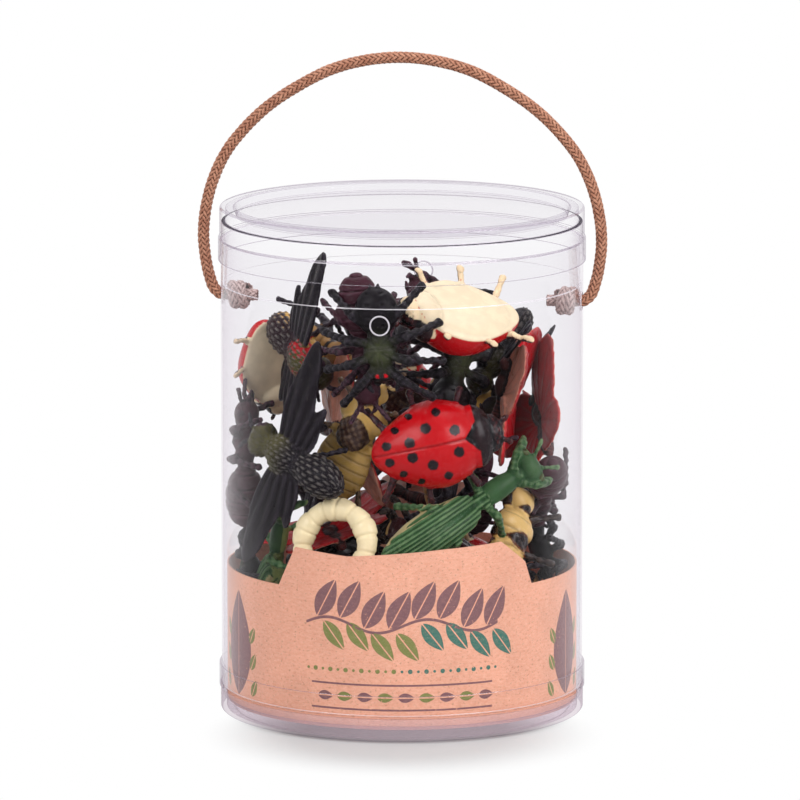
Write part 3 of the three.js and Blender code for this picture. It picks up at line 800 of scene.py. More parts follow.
@dataclass
class Print:
    """Flat shapes on the unrolled strip, by millimetres across and up. An ink is a material's number."""

    midrib: float = 0.22
    rim_parts: int = 14
    rule_parts: int = 20
    dot_parts: int = 12
    bm: BMesh = field(default_factory=bmesh.new)

    def __post_init__(self) -> None:
        """Adds a UV map in millimetres."""
        self.flat = self.bm.loops.layers.uv.new("sheet_mm")

    def patch(self, corners: list[Vector | Pair], ink: int) -> None:
        """Lays one flat shape.

        Args:
            corners: Its outline.
            ink: Its ink.
        """
        face = self.bm.faces.new([self.bm.verts.new((*corner, 0.0)) for corner in corners])
        face.material_index = ink
        for loop in face.loops:
            loop[self.flat].uv = loop.vert.co.xy

    def leaf(self, root: Pair, lean_deg: float, length: float, width: float, ink: int) -> None:
        """Lays one leaf: two halves beside a bare midrib.

        Args:
            root: Where its stalk starts.
            lean_deg: Its direction, anticlockwise from straight right.
            length: Its length.
            width: Its width.
            ink: Its ink.
        """
        lean = radians(lean_deg)
        along = Vector((cos(lean), sin(lean)))
        aside = Vector((-along.y, along.x))
        for side in (1, -1):
            rim = []
            for k in range(self.rim_parts + 1):
                share = k / self.rim_parts
                swell = sin(pi * share**0.85) ** 0.9 if 0 < k < self.rim_parts else 0.0
                rim.append(along * (share * length) + aside * side * (self.midrib + swell * width / 2))
            rib = [along * (share * length) + aside * side * self.midrib for share in (0.75, 0.5, 0.25)]
            self.patch([Vector(root) + p for p in rim + rib], ink)

    def dot(self, at: Pair, radius: float, ink: int) -> None:
        """Lays one dot."""
        angles = [2 * pi * k / self.dot_parts for k in range(self.dot_parts)]
        self.patch([(at[0] + radius * cos(a), at[1] + radius * sin(a)) for a in angles], ink)

    def rule(self, half: float, low: float, high: float, ink: int) -> None:
        """Lays one rule across the panel.

        Args:
            half: How far it goes to each side.
            low: Its lower edge.
            high: Its upper edge.
            ink: Its ink.
        """
        ends = [-half + 2 * half * k / self.rule_parts for k in range(self.rule_parts + 1)]
        for x0, x1 in zip(ends, ends[1:]):
            self.patch([(x0, low), (x1, low), (x1, high), (x0, high)], ink)


@dataclass
class KraftBand:
    """A paper strip rolled into a ring, its upper edge cut to a front panel, printed with leaves."""

    radius: float = 56.4
    paper: float = 0.5
    foot: float = 3.6
    low_edge: float = 47.5
    turn_deg: float = 7.0
    columns: int = 240
    rows: int = 6
    ink_height: float = 0.05
    panel: Pairs = (
        (-44.0, 0.0), (-37.0, 13.0), (-18.0, 11.5), (14.0, 14.0), (34.0, 15.0), (44.0, 7.5), (47.0, 0.0),
    )

    def edge(self, degrees: float) -> float:
        """Height of the upper edge at an angle from the front."""
        angles, rises = zip(*self.panel)
        return self.low_edge + float(np.interp(degrees, angles, rises, left=0.0, right=0.0))

    def place(self, across: float, up: float, lift: float) -> Vector:
        """Rolls a point of the flat strip into the ring.

        Args:
            across: Millimetres along the strip from the front's middle, to the right.
            up: Height.
            lift: Millimetres out from the paper's outer face.

        Returns:
            The point in millimetres.
        """
        angle = across / self.radius + radians(self.turn_deg)
        reach = self.radius + lift
        return Vector((reach * sin(angle), -reach * cos(angle), up))

    def build(self) -> None:
        """Makes the strip and its print."""
        board = KraftBoard()
        ring = object_of("kraft_ring", self.strip())
        ring.data.materials.append(board.make())
        hand_over(ring, Body.TUB, ("kraft_band",))
        printed = object_of("kraft_print", self.print_mesh())
        for name, ink in (("taupe_ink", "7C5A5F"), ("moss_ink", "7A8648"), ("teal_ink", "2F7567")):
            printed.data.materials.append(PrintInk(name, ink).make(board))
        hand_over(printed, Body.TUB)

    def strip(self) -> Mesh:
        """The rolled strip, in metres, with a UV map in millimetres."""
        corners = [angle for angle, _ in self.panel]
        even = [k * 360 / self.columns - 180 for k in range(self.columns)]
        angles = sorted(corners + [a for a in even if min(abs(a - c) for c in corners) > 0.6])
        angles.append(angles[0] + 360)
        bm = bmesh.new()
        flat = bm.loops.layers.uv.new("sheet_mm")
        levels = [k / self.rows for k in range(self.rows + 1)]
        grid = []
        for angle in angles:
            top = self.edge(angle if angle <= 180 else angle - 360)
            across = radians(angle) * self.radius
            heights = [self.foot + (top - self.foot) * level for level in levels]
            grid.append([(bm.verts.new(self.place(across, z, 0.0)), across, z) for z in heights])
        for left, right in zip(grid, grid[1:]):
            for k in range(self.rows):
                square = [left[k], right[k], right[k + 1], left[k + 1]]
                face = bm.faces.new([corner[0] for corner in square])
                for loop, (_, across, z) in zip(face.loops, square):
                    loop[flat].uv = (across, z)
        bmesh.ops.remove_doubles(bm, verts=bm.verts, dist=1e-3)
        bmesh.ops.recalc_face_normals(bm, faces=bm.faces)
        outside = sum(1 if f.normal.dot(f.calc_center_median()) > 0 else -1 for f in bm.faces)
        if outside < 0:
            bmesh.ops.reverse_faces(bm, faces=bm.faces)
        bmesh.ops.solidify(bm, geom=bm.faces[:], thickness=self.paper)
        bmesh.ops.scale(bm, verts=bm.verts, vec=(MM, MM, MM))
        return mesh_of("kraft_ring", bm)

    def print_mesh(self) -> Mesh:
        """The print, in metres: a leafy stem across the panel, rules, and tall leaves at the sides."""
        sheet = Print()
        taupe, moss, teal = range(3)
        half, count, thick = 32.0, 48, 0.45
        stem = []
        for k in range(count + 1):
            stem.append((-half + 2 * half * k / count, 37.0 + 2.2 * sin(2 * pi * k / count * 2.0)))
        for (x0, y0), (x1, y1) in zip(stem, stem[1:]):
            corners = [(x0, y0 - thick), (x1, y1 - thick), (x1, y1 + thick), (x0, y0 + thick)]
            sheet.patch(corners, taupe)
        for k in range(8):
            x, y = stem[3 + k * 6]
            sheet.leaf((x, y + 0.8), 62.0, 13.5, 6.4, taupe)
            sheet.leaf((x + 2.4, y - 0.8), -52.0, 11.0, 4.8, moss if k < 4 else teal)
        for k in range(25):
            sheet.dot((-31.2 + k * 2.6, 22.4), 0.75 if k % 2 else 0.45, moss if k < 12 else teal)
        for low, high in ((17.6, 18.2), (9.6, 10.2)):
            sheet.rule(30.0, low, high, taupe)
        for k in range(9):
            sheet.leaf((-27.6 + k * 6.6, 13.9), 0.0, 5.0, 2.6, moss if k % 2 else taupe)
        for middle in (-67.0, 67.5):
            sheet.leaf((middle, 8.0), 90.0, 34.0, 17.5, taupe)
            for k in range(3):
                sheet.leaf((middle - 9.5 + k * 0.6, 9.0 + k * 8.5), 118.0, 6.0, 2.8, moss)
                sheet.leaf((middle + 9.5 - k * 0.6, 9.0 + k * 8.5), 62.0, 6.0, 2.8, moss)
        self.wrap(sheet.bm)
        return mesh_of("kraft_print", sheet.bm)

    def wrap(self, bm: BMesh) -> None:
        """Rolls the flat print onto the ring, with a film's thickness, in metres."""
        bmesh.ops.triangulate(bm, faces=bm.faces[:])
        for cut in range(-90, 91, 3):
            parts = bm.verts[:] + bm.edges[:] + bm.faces[:]
            bmesh.ops.bisect_plane(bm, geom=parts, plane_co=(cut, 0, 0), plane_no=(1, 0, 0), dist=1e-5)
        for vert in bm.verts:
            vert.co = self.place(vert.co.x, vert.co.y, self.ink_height)
        bmesh.ops.recalc_face_normals(bm, faces=bm.faces)
        inwards = [f for f in bm.faces if f.normal.dot(f.calc_center_median() * Vector((1, 1, 0))) < 0]
        bmesh.ops.reverse_faces(bm, faces=inwards)
        bmesh.ops.solidify(bm, geom=bm.faces[:], thickness=self.ink_height * 1.6)
        bmesh.ops.scale(bm, verts=bm.verts, vec=(MM, MM, MM))


# Cord handle


@dataclass
class CordHandle:
    """A round braid of sixteen yarns, bent to an arch, with a stopper knot on each end."""

    seat_gap: float = 0.3
    diameter: float = 3.8
    knot_width: float = 9.6
    knot_length: float = 8.6
    carriers: int = 8
    lay_mm: float = 14.4
    start_deg: float = 24.0
    yarn_radius: float = 0.53
    crimp: float = 0.19
    loft: float = 0.06
    groove: Pair = (1.56, 1.84)
    spacing: float = 0.5
    wraps: float = 2.05
    arch: Pairs = (
        (1.024, 1.4), (1.058, 6.0), (1.078, 11.5), (1.09, 19.0), (1.075, 28.5), (1.034, 37.5),
        (0.96, 46.6), (0.868, 53.6), (0.739, 61.0), (0.566, 68.0), (0.38, 73.6), (0.186, 76.7),
        (0.0, 77.7),
    )

    def knot_face(self) -> float:
        """Distance from the tub's axis to the face of a knot."""
        return sqrt((Tube.radius - Tube.wall) ** 2 - (self.knot_width / 2) ** 2) - self.seat_gap

    def route(self) -> Array:
        """The arch's centreline."""
        half = [(self.knot_face() + self.seat_gap, 0.0), (Tube.radius, 0.0)]
        half += [(share * Cap.radius, height) for share, height in self.arch]
        right = [(x, 0.0, Tube.hole_height + z) for x, z in half]
        left = [(-x, y, z) for x, y, z in reversed(right[:-1])]
        return self.smooth_line(np.array(right + left))

    def smooth_line(self, corners: Array) -> Array:
        """A smooth line through corners.

        Args:
            corners: Points that it goes through.

        Returns:
            Evenly spaced points along the line.
        """
        gaps = np.linalg.norm(np.diff(corners, axis=0), axis=1)
        slopes = np.gradient(corners, run_along(corners), axis=0)
        fine = []
        for k, gap in enumerate(gaps):
            t = np.linspace(0, 1, 24, endpoint=False)[:, None]
            start = (2 * t**3 - 3 * t**2 + 1) * corners[k] + (t**3 - 2 * t**2 + t) * gap * slopes[k]
            end = (-2 * t**3 + 3 * t**2) * corners[k + 1] + (t**3 - t**2) * gap * slopes[k + 1]
            fine.append(start + end)
        line = np.concatenate(fine + [corners[-1:]])
        run = run_along(line)
        count = max(4, int(round(run[-1] / self.spacing)))
        even = np.linspace(0, run[-1], count + 1)
        return np.stack([np.interp(even, run, line[:, axis]) for axis in range(3)], axis=1)

    def frames(self, line: Array) -> tuple[Array, Array]:
        """Two directions across a line at each point, without twist.

        Args:
            line: Points along the line.

        Returns:
            The two directions, each a row for a point.
        """
        ahead = np.gradient(line, axis=0)
        ahead /= np.linalg.norm(ahead, axis=1)[:, None]
        start = np.array([0.0, 1.0, 0.0])
        if abs(ahead[0] @ start) > 0.9:
            start = np.array([0.0, 0.0, 1.0])
        normal = start - ahead[0] * (ahead[0] @ start)
        normals = []
        for direction in ahead:
            normal = normal - direction * (direction @ normal)
            normal = normal / np.linalg.norm(normal)
            normals.append(normal)
        first = np.array(normals)
        return first, np.cross(ahead, first)

    def braid(self, name: str, lines: list[Array]) -> Mesh:
        """Braids sixteen yarns round lines, each over two and under two.

        Args:
            name: The mesh's name.
            lines: Centrelines, each braided on its own.

        Returns:
            The mesh, in metres.
        """
        curve = bpy.data.curves.new(name, "CURVE")
        curve.dimensions = "3D"
        curve.bevel_depth = self.yarn_radius * MM
        curve.bevel_resolution = 1
        curve.use_fill_caps = True
        ring = self.diameter / 2 + self.loft - self.yarn_radius - self.crimp
        start = radians(self.start_deg)
        for line in lines:
            first, second = self.frames(line)
            turn = 2 * pi * run_along(line) / self.lay_mm
            for way in (1, -1):
                for k in range(self.carriers):
                    angle = start + way * turn + 2 * pi * k / self.carriers
                    wave = np.cos(self.carriers / 2 * turn + way * pi * (k - 0.25))
                    reach = ring + way * self.crimp * wave
                    out = first * np.cos(angle)[:, None] + second * np.sin(angle)[:, None]
                    self.yarn(curve, line + out * reach[:, None])
        mesh = made_mesh(object_of(name, curve))
        mesh.shade_smooth()
        self.mark_crests(mesh, np.concatenate(lines))
        return mesh

    def mark_crests(self, mesh: Mesh, line: Array) -> None:
        """Writes how far each point stands out of the braid's grooves, 0 to 1, for the yarn's painted shade.

        Args:
            mesh: The braid's mesh.
            line: The braid's centrelines.
        """
        tree = near_tree(line * MM)
        reach = np.array([tree.find(vert.co)[2] for vert in mesh.vertices]) / MM
        crest = mesh.attributes.new("crest", "FLOAT", "POINT")
        crest.data.foreach_set("value", ease(*self.groove, reach).astype(np.float32))

    def yarn(self, curve: Curve, points: Array) -> None:
        """Adds one yarn to a curve.

        Args:
            curve: The curve's data.
            points: The yarn's line in millimetres.
        """
        spline = curve.splines.new("POLY")
        spline.points.add(len(points) - 1)
        rows = np.concatenate([points * MM, np.ones((len(points), 1))], axis=1)
        spline.points.foreach_set("co", rows.astype(np.float32).ravel())

    def knot_lines(self, side: int) -> list[Array]:
        """Centrelines of a stopper knot: the cord's end through two wraps of itself.

        Args:
            side: 1 on the right, -1 on the left.

        Returns:
            The lines in millimetres.
        """
        face = self.knot_face()
        half = self.diameter / 2
        core = [(face - 0.2, 0, 0), (face - self.knot_length - half * 0.9, 0, 0)]
        reach = self.knot_width / 2 - half - 0.05
        parts = 28
        coil = []
        for k in range(parts + 1):
            share = k / parts
            angle = 2 * pi * self.wraps * share + 0.6
            along = face - half - (self.knot_length - 2 * half) * share
            coil.append((along, reach * cos(angle), reach * sin(angle)))
        lines = []
        for corners in (core, coil):
            points = np.array(corners) * np.array([side, 1, 1]) + np.array([0, 0, Tube.hole_height])
            lines.append(self.smooth_line(points))
        return lines

    def build(self) -> None:
        yarn = BraidYarn().make()
        # Painted reflection: the knots' yarn is paler and greyer, for the pale veil of the clear wall in
        # front of them.
        pale_knot_yarn = BraidYarn("knot_yarn_painted_pale", "D0BAB4", "B49893", "785A55").make()
        for name, node, side in (("right_stopper", "right_knot", 1), ("left_stopper", "left_knot", -1)):
            knot = object_of(name, self.braid(name, self.knot_lines(side)))
            knot.data.materials.append(pale_knot_yarn)
            hand_over(knot, Body.HANDLE, (node,))
        route = self.route()
        cord = object_of("braided_cord", self.braid("braided_cord", [route]))
        cord.data.materials.append(yarn)
        hand_over(cord, Body.HANDLE, ("handle_cord",))


# Toys


class Coat(Enum):
    """Colours that a kind of toy comes in."""

    PLAIN = "plain"
    BLACK = "black"
    MAROON = "maroon"
    TAN = "tan"


def rgb(colour: str) -> Array:
    """A linear colour as three numbers."""
    return np.array(linear(colour)[:3])


def mixed(paint: Array, colour: str, share: Array) -> Array:
    """Paint with a share of another colour at each point."""
    return paint * (1 - share[:, None]) + rgb(colour) * share[:, None]


@dataclass
class Clay:
    """Lumps, rods and leaves that are fused into one moulded toy."""

    bm: BMesh = field(default_factory=bmesh.new)
    slim: float = 0.94

    def lump(self, at: Point, size: Point) -> None:
        """Adds a round lump by its middle and its half lengths."""
        place = Matrix.Translation(at) @ Matrix.Diagonal((*size, 1.0))
        bmesh.ops.create_icosphere(self.bm, subdivisions=4, radius=1.0, matrix=place)

    def rod(self, points: list[Point], radii: list[float]) -> None:
        """Adds a bent rod with a ball at each bend.

        Args:
            points: Its ends and bends.
            radii: Its radius at each.
        """
        stops = [Vector(p) for p in points]
        for a, b, thick, thin in zip(stops, stops[1:], radii, radii[1:]):
            axis = b - a
            aim = Vector((0, 0, 1)).rotation_difference(axis).to_matrix().to_4x4()
            place = Matrix.Translation((a + b) / 2) @ aim
            ends = {"radius1": thick * self.slim, "radius2": thin * self.slim, "depth": axis.length}
            bmesh.ops.create_cone(self.bm, cap_ends=True, segments=14, matrix=place, **ends)
        for stop, radius in zip(stops, radii):
            place = Matrix.Translation(stop)
            bmesh.ops.create_icosphere(self.bm, subdivisions=2, radius=radius, matrix=place)

    def rods(self, points: list[Point], radii: list[float]) -> None:
        """Adds a rod on the left and its mirror image on the right."""
        for side in (1, -1):
            self.rod([(x, side * y, z) for x, y, z in points], radii)

    def lumps(self, at: Point, size: Point) -> None:
        """Adds a lump on the left and its mirror image on the right."""
        for side in (1, -1):
            self.lump((at[0], side * at[1], at[2]), size)

    def leaf(self, length: float, width: float, thickness: float, place: Matrix, bow: float = 0.0) -> None:
        """Adds a flat wing along +Y of its place.

        Args:
            length: Its length.
            width: Its greatest width.
            thickness: Its thickness.
            place: Where its root is and how it is turned.
            bow: How far its middle is arched up.
        """
        made = bmesh.ops.create_grid(self.bm, x_segments=10, y_segments=26, size=0.5)["verts"]
        faces = {f for v in made for f in v.link_faces}
        for vert in made:
            share = min(max(vert.co.y + 0.5, 0.012), 0.985)
            half = width / 2 * sin(pi * share**0.75) ** 0.6
            rise = bow * sin(pi * share) - bow * 0.6 * (vert.co.x * 2) ** 2
            vert.co = Vector((vert.co.x * 2 * half, share * length, rise))
        shell = bmesh.ops.solidify(self.bm, geom=list(faces), thickness=thickness)["geom"]
        skin = {v for v in shell if isinstance(v, BMVert)} | set(made)
        bmesh.ops.translate(self.bm, verts=list(skin), vec=(0, 0, thickness / 2))
        bmesh.ops.transform(self.bm, verts=list(skin), matrix=place)

    def fused(self, voxel: float) -> Mesh:
        """Fuses everything to one skin.

        Args:
            voxel: The fineness of the skin.

        Returns:
            The mesh, in millimetres.
        """
        bmesh.ops.recalc_face_normals(self.bm, faces=self.bm.faces)
        mesh = bpy.data.meshes.new("clay")
        self.bm.to_mesh(mesh)
        self.bm.free()
        thing = object_of("clay", mesh)
        fuse = thing.modifiers.new("fuse", "REMESH")
        fuse.mode = "VOXEL"
        fuse.voxel_size = voxel
        return made_mesh(thing)


@dataclass
class Skin:
    """A toy's surface while it is worked on."""

    points: Array
    normals: Array
    edges: Array
    proud: float

    @property
    def x(self) -> Array:
        """Each point's place along the body."""
        return self.points[:, 0]

    @property
    def y(self) -> Array:
        """Each point's place across the body."""
        return self.points[:, 1]

    @property
    def z(self) -> Array:
        """Each point's height."""
        return self.points[:, 2]

    @property
    def up(self) -> Array:
        """How far the surface faces up, -1 to 1."""
        return self.normals[:, 2]

    def from_pair(self, x: float, y: float, z: float) -> Array:
        """Distance from a place on the left or from its mirror image on the right."""
        return np.hypot(np.hypot(self.x - x, np.abs(self.y) - y), self.z - z)

    def painted(self, colour: str) -> Array:
        """One colour for every point."""
        return np.tile(rgb(colour), (len(self.points), 1))

    def smoothed(self, rounds: int) -> None:
        """Relaxes the surface a number of times."""
        for _ in range(rounds):
            self.points = self.points + 0.5 * (self.around() - self.points)

    def around(self) -> Array:
        """The mean of each point's neighbours."""
        total = np.zeros_like(self.points)
        count = np.zeros(len(self.points))
        for a, b in ((0, 1), (1, 0)):
            np.add.at(total, self.edges[:, a], self.points[self.edges[:, b]])
            np.add.at(count, self.edges[:, a], 1)
        return total / np.maximum(count, 1)[:, None]

    def ridges(self) -> Array:
        """How far each point stands out of its surroundings, about -1 to 1."""
        above = np.einsum("ij,ij->i", self.points - self.around(), self.normals)
        return np.clip(above / self.proud, -1, 1)


@dataclass
class Toy(ABC):
    """One kind of moulded toy, head towards +X and back towards +Z, in millimetres."""

    slot: Slot = Slot.BLACK
    beads: Pairs = ()
    flat: float = 1.0
    leg_rows: Legs = ()
    leg_radius: float = 1.2
    hip: float = 0.0
    voxel: float = 0.42
    glossy: bool = False
    edge_on: bool = False
    lap: float = 1.04
    relaxed: int = 4
    proud: float = 0.34

    def bead_size(self, k: int) -> Point:
        """Half lengths of a bead, which laps its neighbours a little."""
        length, width = self.beads[k]
        return (length / 2 * self.lap, width / 2, width / 2 * self.flat)

    def bead_middles(self) -> list[float]:
        """Where each bead's middle is along X."""
        front = sum(length for length, _ in self.beads) / 2
        middles = []
        for length, _ in self.beads:
            middles.append(front - length / 2)
            front -= length
        return middles

    def chain(self, clay: Clay) -> None:
        """Adds the body's beads and the waists between them."""
        middles = self.bead_middles()
        for k, x in enumerate(middles):
            clay.lump((x, 0, 0), self.bead_size(k))
        for k in range(len(self.beads) - 1):
            waist = 0.36 * min(self.beads[k][1], self.beads[k + 1][1])
            edge = middles[k] - self.beads[k][0] / 2
            clay.rod([(edge + 1.6, 0, 0), (edge - 1.6, 0, 0)], [waist, waist])

    def legs(self, clay: Clay) -> None:
        """Adds the legs: thigh, knee, shin and a blunt foot."""
        for x, sweep, reach, knee, foot in self.leg_rows:
            ahead = reach * sin(radians(sweep))
            out = reach * cos(radians(sweep))
            stops = [
                (x, 1.0, self.hip),
                (x + 0.27 * ahead, 0.27 * out, self.hip + 0.62 * (knee - self.hip) + 0.4),
                (x + 0.5 * ahead, 0.5 * out, knee + 0.4),
                (x + 0.76 * ahead, 0.76 * out, knee + 0.42 * (foot - knee)),
                (x + ahead, out, foot),
            ]
            clay.rods(stops, [share * self.leg_radius for share in (1.2, 1.05, 1.28, 0.82, 1.05)])

    def feelers(self, clay: Clay, x: float, reach: float, spread: float, radius: float, lift: float) -> None:
        """Adds a pair of feelers on the head.

        Args:
            clay: The toy in the making.
            x: Where they start.
            reach: How far forwards they go.
            spread: How far aside their tips are.
            radius: Their radius.
            lift: How high their tips are.
        """
        middle = (x + reach * 0.5, 1 + (spread - 1) * 0.42, lift * 0.7)
        tip = (x + reach, spread, lift)
        clay.rods([(x, 1, 0), middle, tip], [radius * 1.05, radius * 0.9, radius])

    def wing_place(self, side: int, x: float, height: float, sweep: float, lift: float) -> Matrix:
        """Where a wing's root is.

        Args:
            side: 1 for left, -1 for right.
            x: Its root along the body.
            height: Its root's height.
            sweep: Degrees that its tip lies towards the tail.
            lift: Degrees that its tip is raised.

        Returns:
            The root's place.
        """
        turn = Matrix.Rotation(side * radians(sweep), 4, "Z")
        raised = Matrix.Rotation(radians(lift), 4, "X")
        mirror = Matrix.Diagonal((1, side, 1, 1))
        return Matrix.Translation((x, 0, height)) @ turn @ mirror @ raised

    def shape(self, clay: Clay) -> None:
        """Adds all the toy's forms."""
        self.chain(clay)
        self.legs(clay)

    def on_bead(self, skin: Skin, k: int, grow: float = NEAR_BEAD) -> Array:
        """Which points lie on a bead of the body.

        Args:
            skin: The surface.
            k: The bead's number.
            grow: How far outside the bead still counts.

        Returns:
            True or false for each point.
        """
        middle = np.array([self.bead_middles()[k], 0, 0])
        scale = np.array(self.bead_size(k)) * grow
        return (((skin.points - middle) / scale) ** 2).sum(axis=1) < 1

    def on_body(self, skin: Skin, grow: float = NEAR_BEAD) -> Array:
        """Which points lie on any bead of the body."""
        return np.any([self.on_bead(skin, k, grow) for k in range(len(self.beads))], axis=0)

    def knobs(self, skin: Skin) -> Array:
        """Uneven lumps along the limbs."""
        lengthwise = np.sin(2.3 * skin.x + 1.0) * np.sin(2.5 * skin.y)
        waves = lengthwise + np.sin(2.7 * skin.z + 0.4 * skin.x)
        return 0.13 * waves * ~self.on_body(skin, 1.18)

    @abstractmethod
    def relief(self, skin: Skin) -> Array:
        """How far each point of the smooth form is pressed out."""

    @abstractmethod
    def colours(self, skin: Skin, coat: Coat) -> Array:
        """The paint at each point."""

    def worn(self, colours: Array, skin: Skin, pale: str, amount: float) -> Array:
        """Rubs the paint pale on ridges and paints shade into the hollows.

        Args:
            colours: The paint.
            skin: The surface.
            pale: The colour on ridges.
            amount: How much of it.

        Returns:
            The rubbed paint, with painted shade in the hollows.
        """
        ridge = skin.ridges()
        # Painted shade: hollows are darkened by up to 45 per cent.
        down = (np.clip(-ridge, 0, 1) * 0.45)[:, None]
        return mixed(colours, pale, np.clip(ridge, 0, 1) * amount) * (1 - down)

    def cast(self, coat: Coat) -> Mesh:
        """Makes the toy's mesh.

        Args:
            coat: Its colours.

        Returns:
            The mesh in millimetres, with its paint and its mould's coordinates.
        """
        clay = Clay()
        self.shape(clay)
        mesh = clay.fused(self.voxel)
        mesh.shade_smooth()
        count = len(mesh.vertices)
        edges = np.empty(len(mesh.edges) * 2, dtype=np.int64)
        mesh.edges.foreach_get("vertices", edges)
        proud = self.proud * self.voxel**2
        skin = Skin(points_of(mesh), np.zeros((count, 3)), edges.reshape(-1, 2), proud)
        skin.smoothed(self.relaxed)
        self.settle(mesh, skin)
        pressed = self.relief(skin) + self.knobs(skin) * bool(self.leg_rows)
        skin.points = skin.points + skin.normals * pressed[:, None]
        self.settle(mesh, skin)
        paint = mesh.color_attributes.new("paint", "FLOAT_COLOR", "POINT")
        rows = np.concatenate([np.clip(self.colours(skin, coat), 0, 1), np.ones((count, 1))], axis=1)
        paint.data.foreach_set("color", rows.ravel())
        cast = mesh.attributes.new("cast", "FLOAT_VECTOR", "POINT")
        cast.data.foreach_set("vector", skin.points.ravel())
        return mesh

    def settle(self, mesh: Mesh, skin: Skin) -> None:
        """Writes the surface's points to the mesh and reads its normals back."""
        mesh.vertices.foreach_set("co", skin.points.ravel())
        mesh.update()
        normals = np.empty(len(skin.points) * 3)
        mesh.vertices.foreach_get("normal", normals)
        skin.normals = normals.reshape(-1, 3)


def rings(x: Array, pitch: float, depth: float) -> Array:
    """Grooves across a body, one for each pitch along it."""
    return -depth * np.exp(-((np.sin(pi * x / pitch) / 0.28) ** 2))


def dashes(skin: Skin, long: float, wide: float) -> Array:
    """A field of raised dashes along X, 0 to 1, in staggered rows.

    Args:
        skin: The surface.
        long: Length from one dash to the next.
        wide: Degrees from one row to the next.

    Returns:
        How high each point lies on a dash.
    """
    row = np.degrees(np.arctan2(skin.y, skin.z + 1e-6)) / wide
    stagger = np.mod(np.round(row), 2) * 0.5
    along = np.cos(pi * (np.mod(skin.x / long + stagger, 1.0) - 0.5))
    return np.clip(along * 1.6 - 0.6, 0, 1) * np.clip(np.cos(2 * pi * row), 0, 1)


@dataclass
class Ladybird(Toy):
    """A domed red toy with black spots and a flat cream belly. Its wing cases part towards -X, where
    its dark collar and head are, and they taper towards +X."""

    slot: Slot = Slot.RED
    beads: Pairs = ((7.0, 13.0), (31.0, 29.0))
    flat: float = 0.86
    leg_rows: Legs = (
        (8.0, 30.0, 16.5, 0.0, -4.0), (2.0, 0.0, 17.5, 0.0, -4.0), (-5.0, -30.0, 17.5, 0.0, -4.0),
    )
    leg_radius: float = 1.25
    hip: float = -1.0
    glossy: bool = True
    belly: float = -2.2
    middle: float = -0.4
    half: Point = (18.6, 14.5, 12.4)
    taper: float = 0.3
    case_end: float = -15.8
    notch: float = -11.5
    spots: Pairs = ((13.4, 2.7), (9.8, 7.2), (6.2, 2.4), (4.6, 10.6), (0.4, 6.0), (-4.0, 10.4), (-8.6, 3.6))
    spot_radius: float = 1.88

    def narrowing(self, x: Array) -> Array:
        """Width of the wing cases as a share of a plain egg's, along X."""
        return 1 - self.taper * ease(-0.3, 1.0, (x - self.middle) / self.half[0])

    def wing_case(self, side: int) -> Mesh:
        """One wing case with half the belly.

        Args:
            side: 1 for left, -1 for right.

        Returns:
            The closed mesh.
        """
        half = bmesh.new()
        bmesh.ops.create_icosphere(half, subdivisions=5, radius=1.0)
        for vert in half.verts:
            x = self.middle + self.half[0] * vert.co.x
            thin = float(self.narrowing(np.array(x)))
            vert.co = Vector((x, vert.co.y * self.half[1] * thin, vert.co.z * self.half[2] * thin))
        cuts = (
            ((0, 0, self.belly), (0, 0, 1)),
            ((0, -0.2 * side, 0), (0, side, 0)),
            ((self.case_end, 0, 0), Vector((1, 0, 0.12)).normalized()),
            ((self.notch, 0, 0), Vector((1, 0.9 * side, 0)).normalized()),
        )
        for at, keep in cuts:
            parts = half.verts[:] + half.edges[:] + half.faces[:]
            bmesh.ops.bisect_plane(half, geom=parts, plane_co=at, plane_no=keep, clear_inner=True)
            bmesh.ops.holes_fill(half, edges=[e for e in half.edges if e.is_boundary])
        piece = bpy.data.meshes.new("wing_case")
        half.to_mesh(piece)
        half.free()
        return piece

    def shape(self, clay: Clay) -> None:
        """Adds two wing cases, collar, head, belly and legs."""
        for side in (1, -1):
            piece = self.wing_case(side)
            clay.bm.from_mesh(piece)
            bpy.data.meshes.remove(piece)
        clay.rods([(-23.4, 2.2, 1.0), (-26.0, 4.0, 1.8)], [0.9, 1.0])
        clay.lump((-15.0, 0, 1.6), (6.2, 10.2, 6.4))
        clay.lump((-20.6, 0, 0.4), (3.9, 6.2, 4.4))
        clay.lump((-0.6, 0, self.belly + 0.5), (15.6, 12.4, 1.5))
        self.legs(clay)

    def relief(self, skin: Skin) -> Array:
        """A seam between the wing cases."""
        return -0.35 * np.exp(-((skin.y / 0.36) ** 2)) * (skin.z > 1.5) * (skin.x > self.notch)

    def colours(self, skin: Skin, coat: Coat) -> Array:
        """Red with black spots above, cream below, dark head, legs dark outside and cream under."""
        paint = skin.painted("BE0812")
        spot = np.zeros(len(skin.points), dtype=bool)
        for x, y in self.spots:
            across = (np.abs(skin.y) - y) / np.clip(skin.up, 0.45, 1.0)
            along = (skin.x - x) / np.clip(skin.up, 0.6, 1.0)
            spot |= (np.hypot(along, across) < self.spot_radius) & (skin.z > 0)
        paint[spot] = rgb("100D12")
        wide = self.half[1] * self.narrowing(skin.x)
        shell = ((skin.x - self.middle) / self.half[0]) ** 2 + (skin.y / wide) ** 2
        below = (skin.z < self.belly + 0.6) & (skin.up < 0.35) & (shell < 1.0)
        limb = (shell > 1.03) & (skin.z < 1.6)
        paint[limb] = rgb("241C22")
        paint[limb & (skin.up < 0.0)] = rgb("EBD5AC")
        notch = self.notch - 0.9 * np.abs(skin.y) + 0.25
        head = (skin.x < np.maximum(notch, self.case_end + 0.2)) & (skin.z > self.belly + 0.4)
        paint[head] = rgb("100D11")
        paint[below | ((skin.up < -0.5) & (shell < 1.02))] = rgb("E6D6B4")
        return self.worn(paint, skin, "FF5A55", 0.06)


